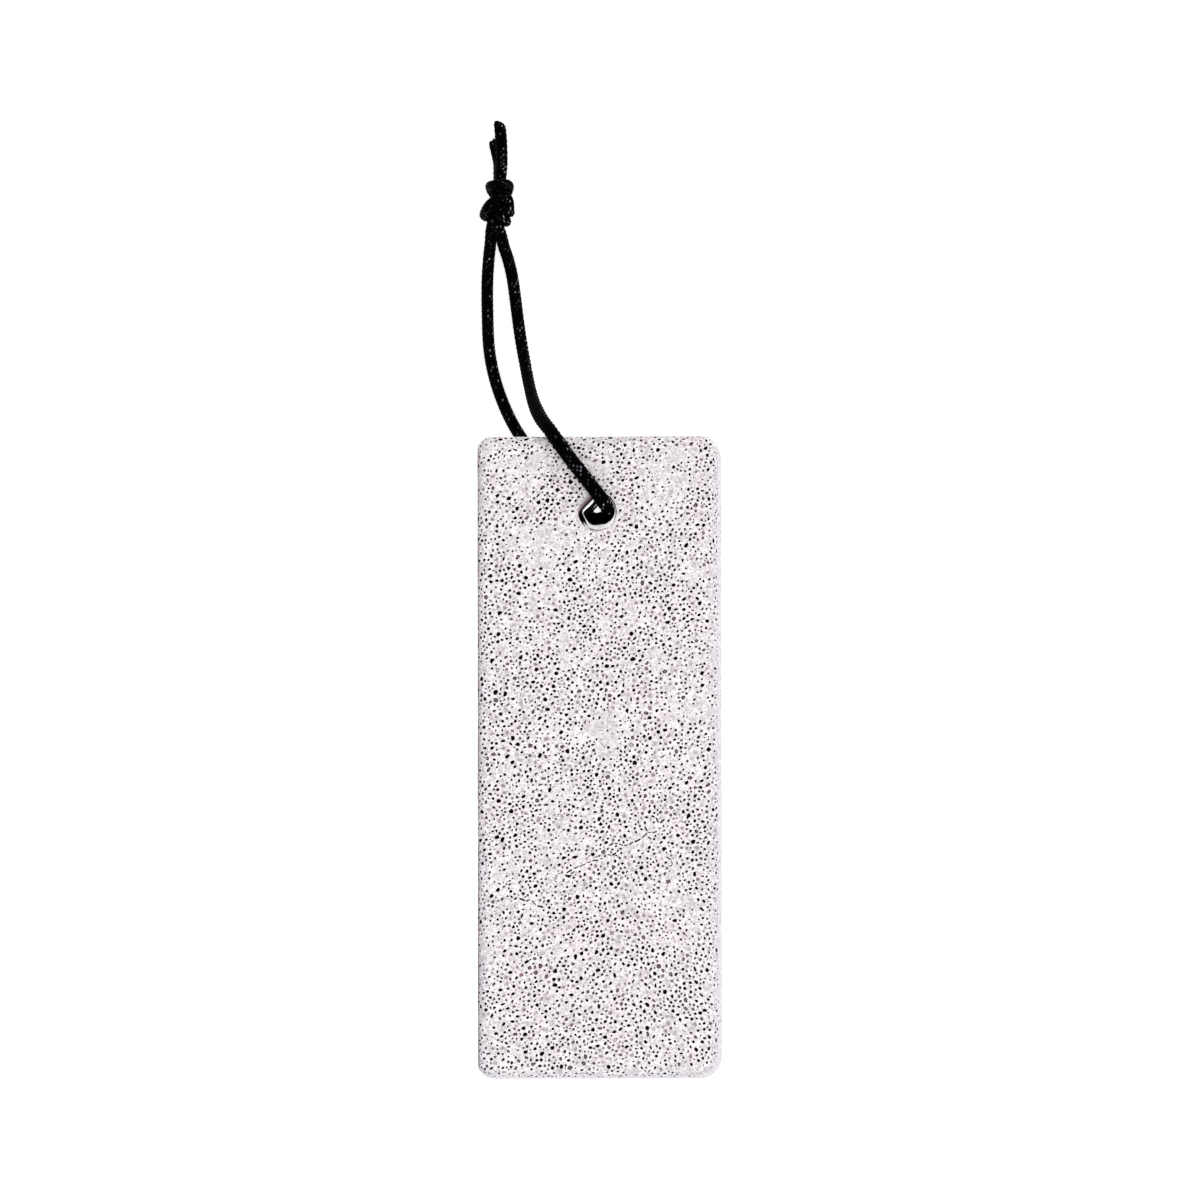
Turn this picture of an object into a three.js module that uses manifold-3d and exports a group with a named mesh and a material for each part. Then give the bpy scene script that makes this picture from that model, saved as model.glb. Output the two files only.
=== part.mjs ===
// A pumice foot stone with a hanging cord: a sawn and tumbled block of pumice, a thin
// metal liner in the hole near one end, and a braided cord looped through the liner and
// tied to itself in one overhand knot.
//
// Millimetres, +Z up. The stone lies on its back with its length along Y and the hole
// towards +Y. One strand of the cord runs under it, so that end is propped up a little.
// The origin is under the middle of the stone, on the surface that it lies on.
import * as THREE from "three";
import { mergeVertices } from "three/addons/utils/BufferGeometryUtils.js";
import Module from "manifold-3d";

// Stone
const STONE_WIDTH = 37.4;
const STONE_LENGTH = 100;
const STONE_THICKNESS = 17;
const EDGE_ROUND = 1.6; // rounding between a broad face and the sides
const CORNER_ROUND = { topLeft: 2.2, topRight: 2.6, bottomLeft: 2.1, bottomRight: 3.6 };
const EDGE_STEPS = 4;
const CORNER_STEPS = 6;
const PROP_ANGLE = THREE.MathUtils.degToRad(1.5); // the cord underneath lifts the hole end
const REST_LINE_Y = -48.16; // where the back's lower edge touches the surface

// Hole and its liner
const HOLE_FROM_END = 11.8;
const HOLE_RADIUS = 3.05;
const HOLE_SIDES = 40;
const LINER_RADIUS = 2.8;
const LINER_WALL = 0.25;
const LINER_FLAT = 2.2; // from the hole's axis to the side that is pressed flat
const LINER_FLAT_TOWARDS = THREE.MathUtils.degToRad(135);
const LINER_FRONT_RECESS = 0.4;
const LINER_BACK_RECESS = 0.3;

// Cord
const CORD_RADIUS = 0.95;
const TAIL_RADIUS = 0.85;
const CORD_SIDES = 8;
const LOOP_STEPS = 78;
const TAIL_STEPS = 5;

// The loop's centre line, from the knot over the stone's front, down through the liner,
// and back to the knot underneath the stone.
const LOOP_ROUTE = [
  [-16.05, 83.35, 2.25],
  [-15.6, 81.4, 1.6],
  [-14.85, 79.1, 1.05],
  [-14.2, 76.3, 0.98],
  [-13.8, 73.5, 0.98],
  [-13.45, 70.7, 1.02],
  [-13.05, 67.8, 1.3],
  [-12.55, 64.9, 2.3],
  [-11.9, 61.8, 4.6],
  [-11.15, 58.6, 8.3],
  [-10.1, 55.2, 12.8],
  [-8.8, 52.6, 16.8],
  [-7.4, 50.7, 19.6],
  [-5.95, 48.9, 20.85],
  [-3.75, 45.95, 20.85],
  [-1.45, 43.1, 20.75],
  [-0.1, 41.15, 20.6],
  [0.85, 39.6, 19.9],
  [1.35, 38.55, 18.4],
  [1.35, 37.95, 16.4],
  [1.0, 37.7, 13.6],
  [0.35, 37.6, 10.6],
  [-0.35, 37.7, 7.8],
  [-0.85, 37.85, 5.4],
  [-1.15, 38.0, 3.45],
  [-1.6, 38.35, 1.75],
  [-2.5, 39.2, 1.0],
  [-4.2, 41, 0.98],
  [-8.2, 45.7, 0.98],
  [-11.8, 49.7, 0.98],
  [-14.0, 53.0, 0.98],
  [-15.85, 57.0, 0.98],
  [-17.1, 60.9, 0.98],
  [-17.85, 65.0, 0.98],
  [-18.12, 70.6, 0.98],
  [-18.12, 76.3, 0.98],
  [-17.9, 79.7, 0.98],
  [-17.45, 83.35, 0.98],
];
const LONG_TAIL_ROUTE = [
  [-15.83, 91.85, 2.8],
  [-15.8, 94.6, 2.8],
  [-15.9, 97.8, 2.5],
  [-16.2, 100.7, 1.6],
];
const SHORT_TAIL_ROUTE = [
  [-15.95, 91.85, 0.98],
  [-16.35, 94.7, 0.98],
  [-17.1, 98, 0.98],
];

// The knot's outer shape, as [distance from its axis, distance along it] from the loop's side.
const KNOT_START = new THREE.Vector3(-16.75, 84, 0);
const KNOT_END = new THREE.Vector3(-16.45, 91.5, 0);
const KNOT_PROFILE = [
  [0, 0],
  [1.7, 0],
  [2.7, 0.9],
  [3.05, 2.3],
  [2.75, 3.7],
  [2.45, 4.6],
  [2.55, 5.7],
  [2.25, 6.8],
  [1.5, 7.5],
  [0, 7.5],
];
const KNOT_SIDES = 16;
const KNOT_HEIGHT = 6.4;

const wasm = await Module();
wasm.setup();

function solidOf(geometry) {
  const bare = geometry.clone();
  bare.deleteAttribute("normal");
  bare.deleteAttribute("uv");
  const merged = mergeVertices(bare);
  return new wasm.Manifold(
    new wasm.Mesh({
      numProp: 3,
      vertProperties: merged.attributes.position.array,
      triVerts: new Uint32Array(merged.index.array),
    }),
  );
}

function geometryOf(solid) {
  const mesh = solid.getMesh();
  return new THREE.BufferGeometry()
    .setAttribute("position", new THREE.BufferAttribute(mesh.vertProperties, 3))
    .setIndex(new THREE.BufferAttribute(mesh.triVerts, 1));
}

// The block's outline, drawn inside its rounded edge, which the bevel adds back.
function stoneOutline() {
  const x = STONE_WIDTH / 2 - EDGE_ROUND;
  const y = STONE_LENGTH / 2 - EDGE_ROUND;
  const round = (corner) => CORNER_ROUND[corner] - EDGE_ROUND;
  const shape = new THREE.Shape();
  const corners = [
    [x, -y, round("bottomRight"), -Math.PI / 2],
    [x, y, round("topRight"), 0],
    [-x, y, round("topLeft"), Math.PI / 2],
    [-x, -y, round("bottomLeft"), Math.PI],
  ];
  for (const [cornerX, cornerY, radius, start] of corners) {
    const centreX = cornerX - Math.sign(cornerX) * radius;
    const centreY = cornerY - Math.sign(cornerY) * radius;
    shape.absarc(centreX, centreY, radius, start, start + Math.PI / 2, false);
  }
  return shape;
}

// The block lies with its back on z = 0 and its length along Y.
function stoneGeometry() {
  const block = new THREE.ExtrudeGeometry(stoneOutline(), {
    depth: STONE_THICKNESS - 2 * EDGE_ROUND,
    bevelThickness: EDGE_ROUND,
    bevelSize: EDGE_ROUND,
    bevelSegments: EDGE_STEPS,
    curveSegments: CORNER_STEPS,
  });
  block.translate(0, 0, EDGE_ROUND);
  const drill = new THREE.CylinderGeometry(
    HOLE_RADIUS,
    HOLE_RADIUS,
    STONE_THICKNESS * 1.5,
    HOLE_SIDES,
  );
  drill.rotateX(Math.PI / 2);
  drill.translate(0, STONE_LENGTH / 2 - HOLE_FROM_END, STONE_THICKNESS / 2);
  return geometryOf(solidOf(block).subtract(solidOf(drill)));
}

// A round outline with one side pressed flat, as points around the hole's axis.
function linerOutline(radius, flat) {
  return Array.from({ length: HOLE_SIDES }, (_, i) => {
    const angle = (2 * Math.PI * i) / HOLE_SIDES;
    const towards = Math.cos(angle - LINER_FLAT_TOWARDS);
    const reach = towards * radius > flat ? flat / towards : radius;
    return new THREE.Vector2(reach * Math.cos(angle), reach * Math.sin(angle));
  });
}

function linerGeometry() {
  const section = new THREE.Shape(linerOutline(LINER_RADIUS, LINER_FLAT));
  section.holes.push(
    new THREE.Path(linerOutline(LINER_RADIUS - LINER_WALL, LINER_FLAT - LINER_WALL)),
  );
  return new THREE.ExtrudeGeometry(section, {
    depth: STONE_THICKNESS - LINER_FRONT_RECESS - LINER_BACK_RECESS,
    bevelEnabled: false,
  }).translate(0, STONE_LENGTH / 2 - HOLE_FROM_END, LINER_BACK_RECESS);
}

function cordGeometry(route, radius, steps) {
  const curve = new THREE.CatmullRomCurve3(
    route.map((point) => new THREE.Vector3(...point)),
    false,
    "centripetal",
  );
  const section = new THREE.Shape(
    Array.from({ length: CORD_SIDES }, (_, i) => {
      const angle = (2 * Math.PI * i) / CORD_SIDES;
      return new THREE.Vector2(radius * Math.cos(angle), radius * Math.sin(angle));
    }),
  );
  return new THREE.ExtrudeGeometry(section, { steps, extrudePath: curve });
}

// The knot lies along its axis from KNOT_START, flattened to its height and resting on z = 0.
function knotGeometry() {
  const profile = KNOT_PROFILE.map(([radius, along]) => new THREE.Vector2(radius, along));
  const widest = Math.max(...KNOT_PROFILE.map(([radius]) => radius));
  const lean = Math.atan2(KNOT_START.x - KNOT_END.x, KNOT_END.y - KNOT_START.y);
  return new THREE.LatheGeometry(profile, KNOT_SIDES)
    .scale(1, 1, KNOT_HEIGHT / (2 * widest))
    .rotateZ(lean)
    .translate(KNOT_START.x, KNOT_START.y, KNOT_HEIGHT / 2);
}

const pumice = new THREE.MeshStandardMaterial({ color: 0xe4dfe0, roughness: 0.95 });
const nickel = new THREE.MeshStandardMaterial({
  color: 0xc9ccd2,
  roughness: 0.2,
  metalness: 1,
});
const nylon = new THREE.MeshStandardMaterial({ color: 0x0b0b0d, roughness: 0.55 });

function piece(name, geometry, material) {
  const mesh = new THREE.Mesh(geometry, material);
  mesh.name = name;
  return mesh;
}

// The stone and its liner lean together about the line that the back rests on.
const propped = new THREE.Group();
propped.rotation.x = PROP_ANGLE;
propped.position.y = REST_LINE_Y;
const lyingStone = new THREE.Group();
lyingStone.position.y = STONE_LENGTH / 2 - EDGE_ROUND;
lyingStone.add(piece("stone", stoneGeometry(), pumice));
lyingStone.add(piece("hole_liner", linerGeometry(), nickel));
propped.add(lyingStone);

const part = new THREE.Group();
part.add(propped);
part.add(piece("cord_loop", cordGeometry(LOOP_ROUTE, CORD_RADIUS, LOOP_STEPS), nylon));
part.add(piece("cord_knot", knotGeometry(), nylon));
part.add(piece("cord_tail_long", cordGeometry(LONG_TAIL_ROUTE, TAIL_RADIUS, TAIL_STEPS), nylon));
part.add(piece("cord_tail_short", cordGeometry(SHORT_TAIL_ROUTE, TAIL_RADIUS, TAIL_STEPS), nylon));

export default part;
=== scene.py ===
"""A pumice foot stone on a looped black cord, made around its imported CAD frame.

The block is one closed mesh: its front, its sides and its back are each cut out as a flat
pattern with every pore in it, and then bent and sunk into shape. The cord is a braided tube
that runs from one tip, through the knot, through the metal liner in the hole and back
through the knot. The knot is pulled tight here, step by step, from a loose one.
"""

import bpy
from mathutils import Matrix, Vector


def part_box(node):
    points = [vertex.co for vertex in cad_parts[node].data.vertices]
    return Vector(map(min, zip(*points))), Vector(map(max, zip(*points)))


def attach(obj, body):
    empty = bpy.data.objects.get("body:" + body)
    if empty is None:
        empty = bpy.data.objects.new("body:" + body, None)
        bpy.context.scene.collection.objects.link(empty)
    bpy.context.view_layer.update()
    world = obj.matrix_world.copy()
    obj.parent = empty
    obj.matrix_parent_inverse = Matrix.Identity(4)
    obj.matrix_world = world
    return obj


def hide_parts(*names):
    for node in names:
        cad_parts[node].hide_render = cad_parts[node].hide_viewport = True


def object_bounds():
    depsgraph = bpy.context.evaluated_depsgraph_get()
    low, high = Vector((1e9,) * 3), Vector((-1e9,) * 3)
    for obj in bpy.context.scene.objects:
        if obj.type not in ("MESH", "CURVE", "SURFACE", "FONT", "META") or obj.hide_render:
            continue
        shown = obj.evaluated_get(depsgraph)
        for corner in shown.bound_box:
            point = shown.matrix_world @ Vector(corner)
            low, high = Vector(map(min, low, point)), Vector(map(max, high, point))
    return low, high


bl_info = {
    "name": "Pumice Foot Stone",
    "version": (1, 0, 0),
    "blender": (4, 5, 0),
    "location": "3D View > Sidebar > Pumice",
    "description": "Makes a pored pumice block with a metal liner and a knotted hanging cord",
    "category": "Object",
}

import math
import random

import bpy
import numpy as np
from bpy.props import FloatProperty, FloatVectorProperty, IntProperty, PointerProperty
from mathutils import Matrix, Vector, noise
from mathutils.geometry import delaunay_2d_cdt

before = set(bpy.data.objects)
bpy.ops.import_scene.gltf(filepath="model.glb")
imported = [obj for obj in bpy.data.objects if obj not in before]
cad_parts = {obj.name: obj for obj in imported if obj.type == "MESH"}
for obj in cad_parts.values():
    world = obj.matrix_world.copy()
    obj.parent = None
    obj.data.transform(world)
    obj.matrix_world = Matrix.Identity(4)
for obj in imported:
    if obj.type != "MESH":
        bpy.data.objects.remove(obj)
CAD_LOW, CAD_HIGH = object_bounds()
STONE_LOW, STONE_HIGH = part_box("stone")
MM = 0.001
TAU = 2 * math.pi

# The block's own frame has its length along Y, its back on Z = 0 and its middle at the origin.
# It lies tilted, with the hole end lifted by the cord beneath it.
PROP_ANGLE = math.radians(1.5)
BLOCK_LENGTH = 100.0
BLOCK_THICKNESS = 17.0
HOLE_FROM_END = 11.8
HOLE_RADIUS = 3.05
CORNERS = {(1, -1): 3.6, (1, 1): 2.6, (-1, 1): 2.2, (-1, -1): 2.1}
LINER_FLAT_TOWARDS = math.radians(135)
LINER_FRONT_RECESS = 0.4
LINER_BACK_RECESS = 0.3

# The cord's route in millimetres: from the knot over the front, down through the liner,
# and back to the knot underneath the block.
LOOP_ROUTE = [
    (-16.05, 83.35, 2.25),
    (-15.6, 81.4, 1.6),
    (-14.85, 79.1, 1.05),
    (-14.2, 76.3, 0.98),
    (-13.8, 73.5, 0.98),
    (-13.45, 70.7, 1.02),
    (-13.05, 67.8, 1.3),
    (-12.55, 64.9, 2.3),
    (-11.9, 61.8, 4.6),
    (-11.15, 58.6, 8.3),
    (-10.1, 55.2, 12.8),
    (-8.8, 52.6, 16.8),
    (-7.4, 50.7, 19.6),
    (-6.1, 48.85, 20.9),
    (-3.95, 45.85, 20.9),
    (-1.7, 43.0, 20.85),
    (-0.25, 41.1, 20.7),
    (0.95, 39.5, 20.0),
    (1.6, 38.45, 18.6),
    (1.65, 37.85, 16.4),
    (1.2, 37.65, 13.6),
    (0.35, 37.6, 10.6),
    (-0.35, 37.7, 7.8),
    (-0.85, 37.85, 5.4),
    (-1.15, 38.0, 3.45),
    (-1.6, 38.35, 1.75),
    (-2.5, 39.2, 1.0),
    (-4.2, 41.0, 0.98),
    (-8.2, 45.7, 0.98),
    (-11.8, 49.7, 0.98),
    (-14.0, 53.0, 0.98),
    (-15.85, 57.0, 0.98),
    (-17.1, 60.9, 0.98),
    (-17.85, 65.0, 0.98),
    (-18.12, 70.6, 0.98),
    (-18.12, 76.3, 0.98),
    (-17.9, 79.7, 0.98),
    (-17.45, 83.35, 0.98),
]
LONG_TAIL_ROUTE = [
    (-15.83, 92.3, 2.75),
    (-15.8, 94.6, 2.75),
    (-15.9, 97.8, 2.5),
    (-16.2, 100.7, 1.6),
]
SHORT_TAIL_ROUTE = [
    (-15.95, 92.3, 0.98),
    (-16.35, 94.7, 0.98),
    (-17.1, 98.0, 0.98),
]


# ---------------------------------------------------------------------------------------
# Settings
# ---------------------------------------------------------------------------------------


def length_setting(name, description, millimetres):
    return FloatProperty(
        name=name,
        description=description,
        default=millimetres * MM,
        unit="LENGTH",
        precision=5,
        min=0.0,
    )


def colour_setting(name, description, colour):
    return FloatVectorProperty(
        name=name,
        description=description,
        default=colour,
        subtype="COLOR",
        size=3,
        min=0.0,
        max=1.0,
    )


class StageSettings(bpy.types.PropertyGroup):
    camera_distance: FloatProperty(
        name="Camera distance",
        description="How far the camera stands from what it aims at",
        default=2.5,
        unit="LENGTH",
    )
    framed_width: length_setting("Framed width", "Width of what the camera takes in", 187.7)
    floor_colour: colour_setting("Floor", "Colour of the floor", (0.5, 0.5, 0.5))
    floor_glow: FloatProperty(
        name="Floor glow",
        description="How brightly the floor is lit from beneath, as a light table is",
        default=1.55,
        min=0.0,
    )
    key_power: FloatProperty(
        name="Key light",
        description="Power of the soft light at the right",
        default=3.0,
        unit="POWER",
    )
    room_light: FloatProperty(
        name="Room light",
        description="Brightness of the white room",
        default=0.78,
        min=0.0,
    )


class CordSettings(bpy.types.PropertyGroup):
    diameter: length_setting("Diameter", "Diameter of the cord", 1.9)
    pick: length_setting("Pick", "Length of one crossing of the braid", 0.9)
    yarns: IntProperty(
        name="Yarns",
        description="Number of yarns that run each way round",
        default=8,
        min=4,
    )
    colour: colour_setting("Yarn", "Colour of the yarn", (0.0008, 0.0008, 0.0011))
    sheen: colour_setting("Sheen", "Colour of the crossings that catch the light", (0.6, 0.58, 0.68))


class LinerSettings(bpy.types.PropertyGroup):
    radius: length_setting("Radius", "Outer radius of the liner", 2.8)
    flat: length_setting("Flat", "From the hole's middle to the side pressed flat", 2.2)
    wall: length_setting("Wall", "Thickness of the sheet metal", 0.25)
    colour: colour_setting("Metal", "Colour of the plated metal", (0.95, 0.95, 0.97))
    # Painted shade: the liner's metal inside the hole, round its outside and under its lip gets this
    # dark colour, standing in for shadow and dark reflections.
    painted_inner_shade: colour_setting("Painted_inner_shade", "Colour of the metal inside the hole", (0.04, 0.035, 0.045))


class StoneSettings(bpy.types.PropertyGroup):
    width: FloatProperty(
        name="Width",
        description="Width of the block",
        default=STONE_HIGH.x - STONE_LOW.x,
        unit="LENGTH",
        precision=5,
    )
    edge_round: length_setting("Edge round", "Rounding between a broad face and the sides", 1.6)
    pore_radius: length_setting("Pore radius", "Middle radius of the open pores", 0.199)
    open_pores: FloatProperty(
        name="Open pores",
        description="Number of open pores wanted on a square millimetre of the front",
        default=1.5,
        min=0.0,
    )
    worn_pores: FloatProperty(
        name="Worn pores",
        description="Number of shallow, half closed pores wanted on a square millimetre of the front",
        default=0.27,
        min=0.0,
    )
    seed: IntProperty(name="Seed", description="Changes where the pores are", default=7)
    skin: colour_setting("Skin", "Colour of the worn surface", (0.917, 0.872, 0.882))
    # Painted shade: the sides get a darker, cooler colour than the front, standing in for their facing
    # away from the light.
    shaded_side_skin: colour_setting("Side skin", "Colour of the smooth sides", (0.8, 0.775, 0.81))
    # Painted shade: the colour deep inside a pore, standing in for the shade in it.
    hollow_shade: colour_setting("Hollow", "Colour deep inside a pore", (0.01, 0.004, 0.006))


# ---------------------------------------------------------------------------------------
# Small tools
# ---------------------------------------------------------------------------------------


def new_mesh_object(name, points, faces):
    """A smooth-shaded mesh object from points in metres and a list of faces."""
    mesh = bpy.data.meshes.new(name)
    mesh.from_pydata([tuple(p) for p in points], [], faces)
    mesh.validate()
    mesh.polygons.foreach_set("use_smooth", [True] * len(mesh.polygons))
    mesh.update()
    made = bpy.data.objects.new(name, mesh)
    bpy.context.scene.collection.objects.link(made)
    return made


def set_attribute(made, name, domain, values, kind="FLOAT"):
    """Gives a mesh object a named value for each point, corner or edge."""
    made.data.attributes.new(name, kind, domain).data.foreach_set("value", values)


def fade(values, start, span):
    """0 up to the start, and from there up to 1 over the span."""
    return np.clip((values - start) / span, 0, 1)


def curve_through(points, spacing):
    """Points a fixed distance apart on a smooth curve through the given ones."""
    points = np.asarray(points, float)
    points = np.vstack([2 * points[0] - points[1], points, 2 * points[-1] - points[-2]])
    gaps = np.sqrt(np.linalg.norm(np.diff(points, axis=0), axis=1))
    made = []
    for i in range(1, len(points) - 2):
        p0, p1, p2, p3 = points[i - 1 : i + 3]
        t0, t1, t2 = gaps[i - 1 : i + 2]
        m1 = (p2 - p1) + t1 * ((p1 - p0) / t0 - (p2 - p0) / (t0 + t1))
        m2 = (p2 - p1) + t1 * ((p3 - p2) / t2 - (p3 - p1) / (t1 + t2))
        count = max(2, int(np.linalg.norm(p2 - p1) / spacing * 4))
        t = np.linspace(0, 1, count, endpoint=False)[:, None]
        made.append(
            (2 * t**3 - 3 * t**2 + 1) * p1
            + (t**3 - 2 * t**2 + t) * m1
            + (3 * t**2 - 2 * t**3) * p2
            + (t**3 - t**2) * m2
        )
    return evenly_spaced(np.vstack([*made, points[-2]]), spacing)


def evenly_spaced(points, spacing):
    """Points a fixed distance apart on the straight lines through the given ones."""
    steps = np.linalg.norm(np.diff(points, axis=0), axis=1)
    along = np.concatenate([[0], np.cumsum(steps)])
    wanted = np.linspace(0, along[-1], int(round(along[-1] / spacing)) + 1)
    return np.stack([np.interp(wanted, along, points[:, k]) for k in range(3)], axis=1)


def length_of(points):
    return float(np.linalg.norm(np.diff(points, axis=0), axis=1).sum())


def carried_frames(path):
    """A tangent and two cross directions at each point, carried along without twisting."""
    tangents = np.gradient(path, axis=0)
    tangents /= np.linalg.norm(tangents, axis=1)[:, None]
    across = np.zeros_like(path)
    start = np.cross(tangents[0], (0.0, 0.0, 1.0))
    across[0] = start / np.linalg.norm(start)
    for i in range(1, len(path)):
        carried = across[i - 1] - tangents[i] * (across[i - 1] @ tangents[i])
        across[i] = carried / np.linalg.norm(carried)
    return tangents, across, np.cross(tangents, across)


def ring_faces(rings, around, start=0):
    """Quads between closed rings of points, facing outward from the path."""
    faces = []
    for i in range(rings - 1):
        row = start + i * around
        for k in range(around):
            turn = (k + 1) % around
            faces.append((row + k, row + turn, row + around + turn, row + around + k))
    return faces


def hole_centre():
    """How far along the block the hole's middle is."""
    return BLOCK_LENGTH / 2 - HOLE_FROM_END


def block_to_world(points):
    """From the block's own frame, in millimetres, to its tilted place, in metres."""
    points = np.asarray(points, float)
    edge = bpy.context.scene.pumice_stone.edge_round / MM
    rest_y = STONE_LOW.y / MM + edge + (BLOCK_THICKNESS - edge) * math.sin(PROP_ANGLE)
    cos, sin = math.cos(PROP_ANGLE), math.sin(PROP_ANGLE)
    along = points[:, 1] + BLOCK_LENGTH / 2 - edge
    up = points[:, 2]
    moved = np.stack([points[:, 0], rest_y + along * cos - up * sin, along * sin + up * cos], axis=1)
    return moved * MM


class Nodes:
    """A material and short calls that add nodes to it."""

    def __init__(self, name):
        self.material = bpy.data.materials.new(name)
        self.material.use_nodes = True
        self.tree = self.material.node_tree
        self.shader = self.tree.nodes["Principled BSDF"]
        self.place = self.add("ShaderNodeTexCoord").outputs["Object"]

    def add(self, kind, **settings):
        node = self.tree.nodes.new(kind)
        for key, value in settings.items():
            setattr(node, key, value)
        return node

    def link(self, source, target):
        self.tree.links.new(source, target)

    def noise(self, scale, detail=2.0, roughness=0.5, place=None):
        node = self.add("ShaderNodeTexNoise")
        node.inputs["Scale"].default_value = scale
        node.inputs["Detail"].default_value = detail
        node.inputs["Roughness"].default_value = roughness
        self.link(place or self.place, node.inputs["Vector"])
        return node.outputs["Fac"]

    def cells(self, scale):
        """Distance from the middle of the nearest of many scattered cells."""
        node = self.add("ShaderNodeTexVoronoi")
        node.inputs["Scale"].default_value = scale
        self.link(self.place, node.inputs["Vector"])
        return node.outputs["Distance"]

    def range(self, value, low, high, to_low=0.0, to_high=1.0):
        """The value, moved smoothly from one range into another."""
        node = self.add("ShaderNodeMapRange", interpolation_type="SMOOTHSTEP")
        self.link(value, node.inputs["Value"])
        node.inputs["From Min"].default_value = low
        node.inputs["From Max"].default_value = high
        node.inputs["To Min"].default_value = to_low
        node.inputs["To Max"].default_value = to_high
        return node.outputs["Result"]

    def math(self, operation, first, second=0.5):
        node = self.add("ShaderNodeMath", operation=operation)
        for socket, value in zip(node.inputs, (first, second)):
            if isinstance(value, (int, float)):
                socket.default_value = value
            else:
                self.link(value, socket)
        return node.outputs["Value"]

    def mix(self, amount, first, second, blend="MIX"):
        """A blend of two colours. Each input is a number, a colour or another node's output."""
        node = self.add("ShaderNodeMix", data_type="RGBA", blend_type=blend)
        colours = {s.name: s for s in node.inputs if s.type == "RGBA"}
        sockets = (node.inputs["Factor"], colours["A"], colours["B"])
        for socket, value in zip(sockets, (amount, first, second)):
            if isinstance(value, (int, float)):
                socket.default_value = value
            elif isinstance(value, tuple):
                socket.default_value = (*value, 1.0)
            else:
                self.link(value, socket)
        return next(s for s in node.outputs if s.type == "RGBA")

    def grey(self, value):
        """A grey colour from a number."""
        node = self.add("ShaderNodeCombineColor")
        for socket in node.inputs:
            self.link(value, socket)
        return node.outputs["Color"]

    def bump(self, height, distance, strength):
        node = self.add("ShaderNodeBump")
        node.inputs["Distance"].default_value = distance
        node.inputs["Strength"].default_value = strength
        self.link(height, node.inputs["Height"])
        return node.outputs["Normal"]

    def attribute(self, name):
        return self.add("ShaderNodeAttribute", attribute_name=name).outputs["Fac"]

    def stretched(self, scale):
        """The place, squeezed or stretched along each axis."""
        node = self.add("ShaderNodeMapping")
        node.inputs["Scale"].default_value = scale
        self.link(self.place, node.inputs["Vector"])
        return node.outputs["Vector"]


# ---------------------------------------------------------------------------------------
# Stage
# ---------------------------------------------------------------------------------------

# The camera looks almost straight down, from a little to the right and towards the lower end.
CAMERA_TO_RIGHT = math.radians(2.7)
CAMERA_TO_LOWER_END = math.radians(4.2)
SENSOR_WIDTH = 36.0
AIM_BELOW_MIDDLE = 0.0006
FLOOR_SIZE = 8.0
BRIGHT_SIDE = (0.22, -0.1, 0.1)
KEY_PLACE = (0.5, -0.35, 1.3)
KEY_SIZE = 0.16
ROOM_COLOUR = (1.0, 0.99, 1.0, 1.0)
CAMERA_REACH = 100.0


def make_camera(settings):
    away = Vector((math.tan(CAMERA_TO_RIGHT), -math.tan(CAMERA_TO_LOWER_END), 1.0)).normalized()
    aim = (CAD_LOW + CAD_HIGH) / 2
    aim.x = (STONE_LOW.x + STONE_HIGH.x) / 2
    aim.y -= AIM_BELOW_MIDDLE
    aim.z = (STONE_LOW.z + STONE_HIGH.z) / 2
    data = bpy.data.cameras.new("camera")
    data.sensor_width = SENSOR_WIDTH
    data.lens = SENSOR_WIDTH * settings.camera_distance / settings.framed_width
    data.clip_end = CAMERA_REACH
    camera = bpy.data.objects.new("camera", data)
    side = Vector((0.0, 1.0, 0.0)).cross(away).normalized()
    turn = Matrix((side, away.cross(side), away)).transposed()
    place = aim + away * settings.camera_distance
    camera.matrix_world = Matrix.LocRotScale(place, turn, None)
    bpy.context.scene.collection.objects.link(camera)
    bpy.context.scene.camera = camera


def make_key_light(settings):
    data = bpy.data.lights.new("key", "AREA")
    data.size = KEY_SIZE
    data.energy = settings.key_power
    light = bpy.data.objects.new("key", data)
    light.location = KEY_PLACE
    light.rotation_mode = "QUATERNION"
    light.rotation_quaternion = (-Vector(KEY_PLACE)).to_track_quat("-Z", "Y")
    light.visible_camera = False
    bpy.context.scene.collection.objects.link(light)


def floor_material(settings):
    nodes = Nodes("floor")
    tone = nodes.range(nodes.noise(3.0, 3.0), 0.3, 0.7, 0.985, 1.0)
    colour = nodes.mix(1.0, tuple(settings.floor_colour), nodes.grey(tone), "MULTIPLY")
    nodes.link(colour, nodes.shader.inputs["Base Color"])
    nodes.link(colour, nodes.shader.inputs["Emission Color"])
    nodes.shader.inputs["Emission Strength"].default_value = settings.floor_glow
    nodes.shader.inputs["Roughness"].default_value = 1.0
    nodes.shader.inputs["Specular IOR Level"].default_value = 0.0
    return nodes.material


def make_floor(settings):
    half = FLOOR_SIZE / 2
    corners = [(-half, -half, 0.0), (half, -half, 0.0), (half, half, 0.0), (-half, half, 0.0)]
    floor = new_mesh_object("floor", corners, [(0, 1, 2, 3)])
    floor.data.materials.append(floor_material(settings))


def make_room(settings):
    """A white room that is a little brighter towards one side."""
    world = bpy.data.worlds.new("room")
    bpy.context.scene.world = world
    world.use_nodes = True
    tree = world.node_tree
    background = tree.nodes["Background"]
    background.inputs["Color"].default_value = ROOM_COLOUR
    place = tree.nodes.new("ShaderNodeTexCoord")
    lean = tree.nodes.new("ShaderNodeVectorMath")
    lean.operation = "DOT_PRODUCT"
    lean.inputs[1].default_value = Vector(BRIGHT_SIDE) * settings.room_light
    brightness = tree.nodes.new("ShaderNodeMath")
    brightness.inputs[1].default_value = settings.room_light
    tree.links.new(place.outputs["Generated"], lean.inputs[0])
    tree.links.new(lean.outputs["Value"], brightness.inputs[0])
    tree.links.new(brightness.outputs["Value"], background.inputs["Strength"])


# ---------------------------------------------------------------------------------------
# Cord
# ---------------------------------------------------------------------------------------

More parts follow.
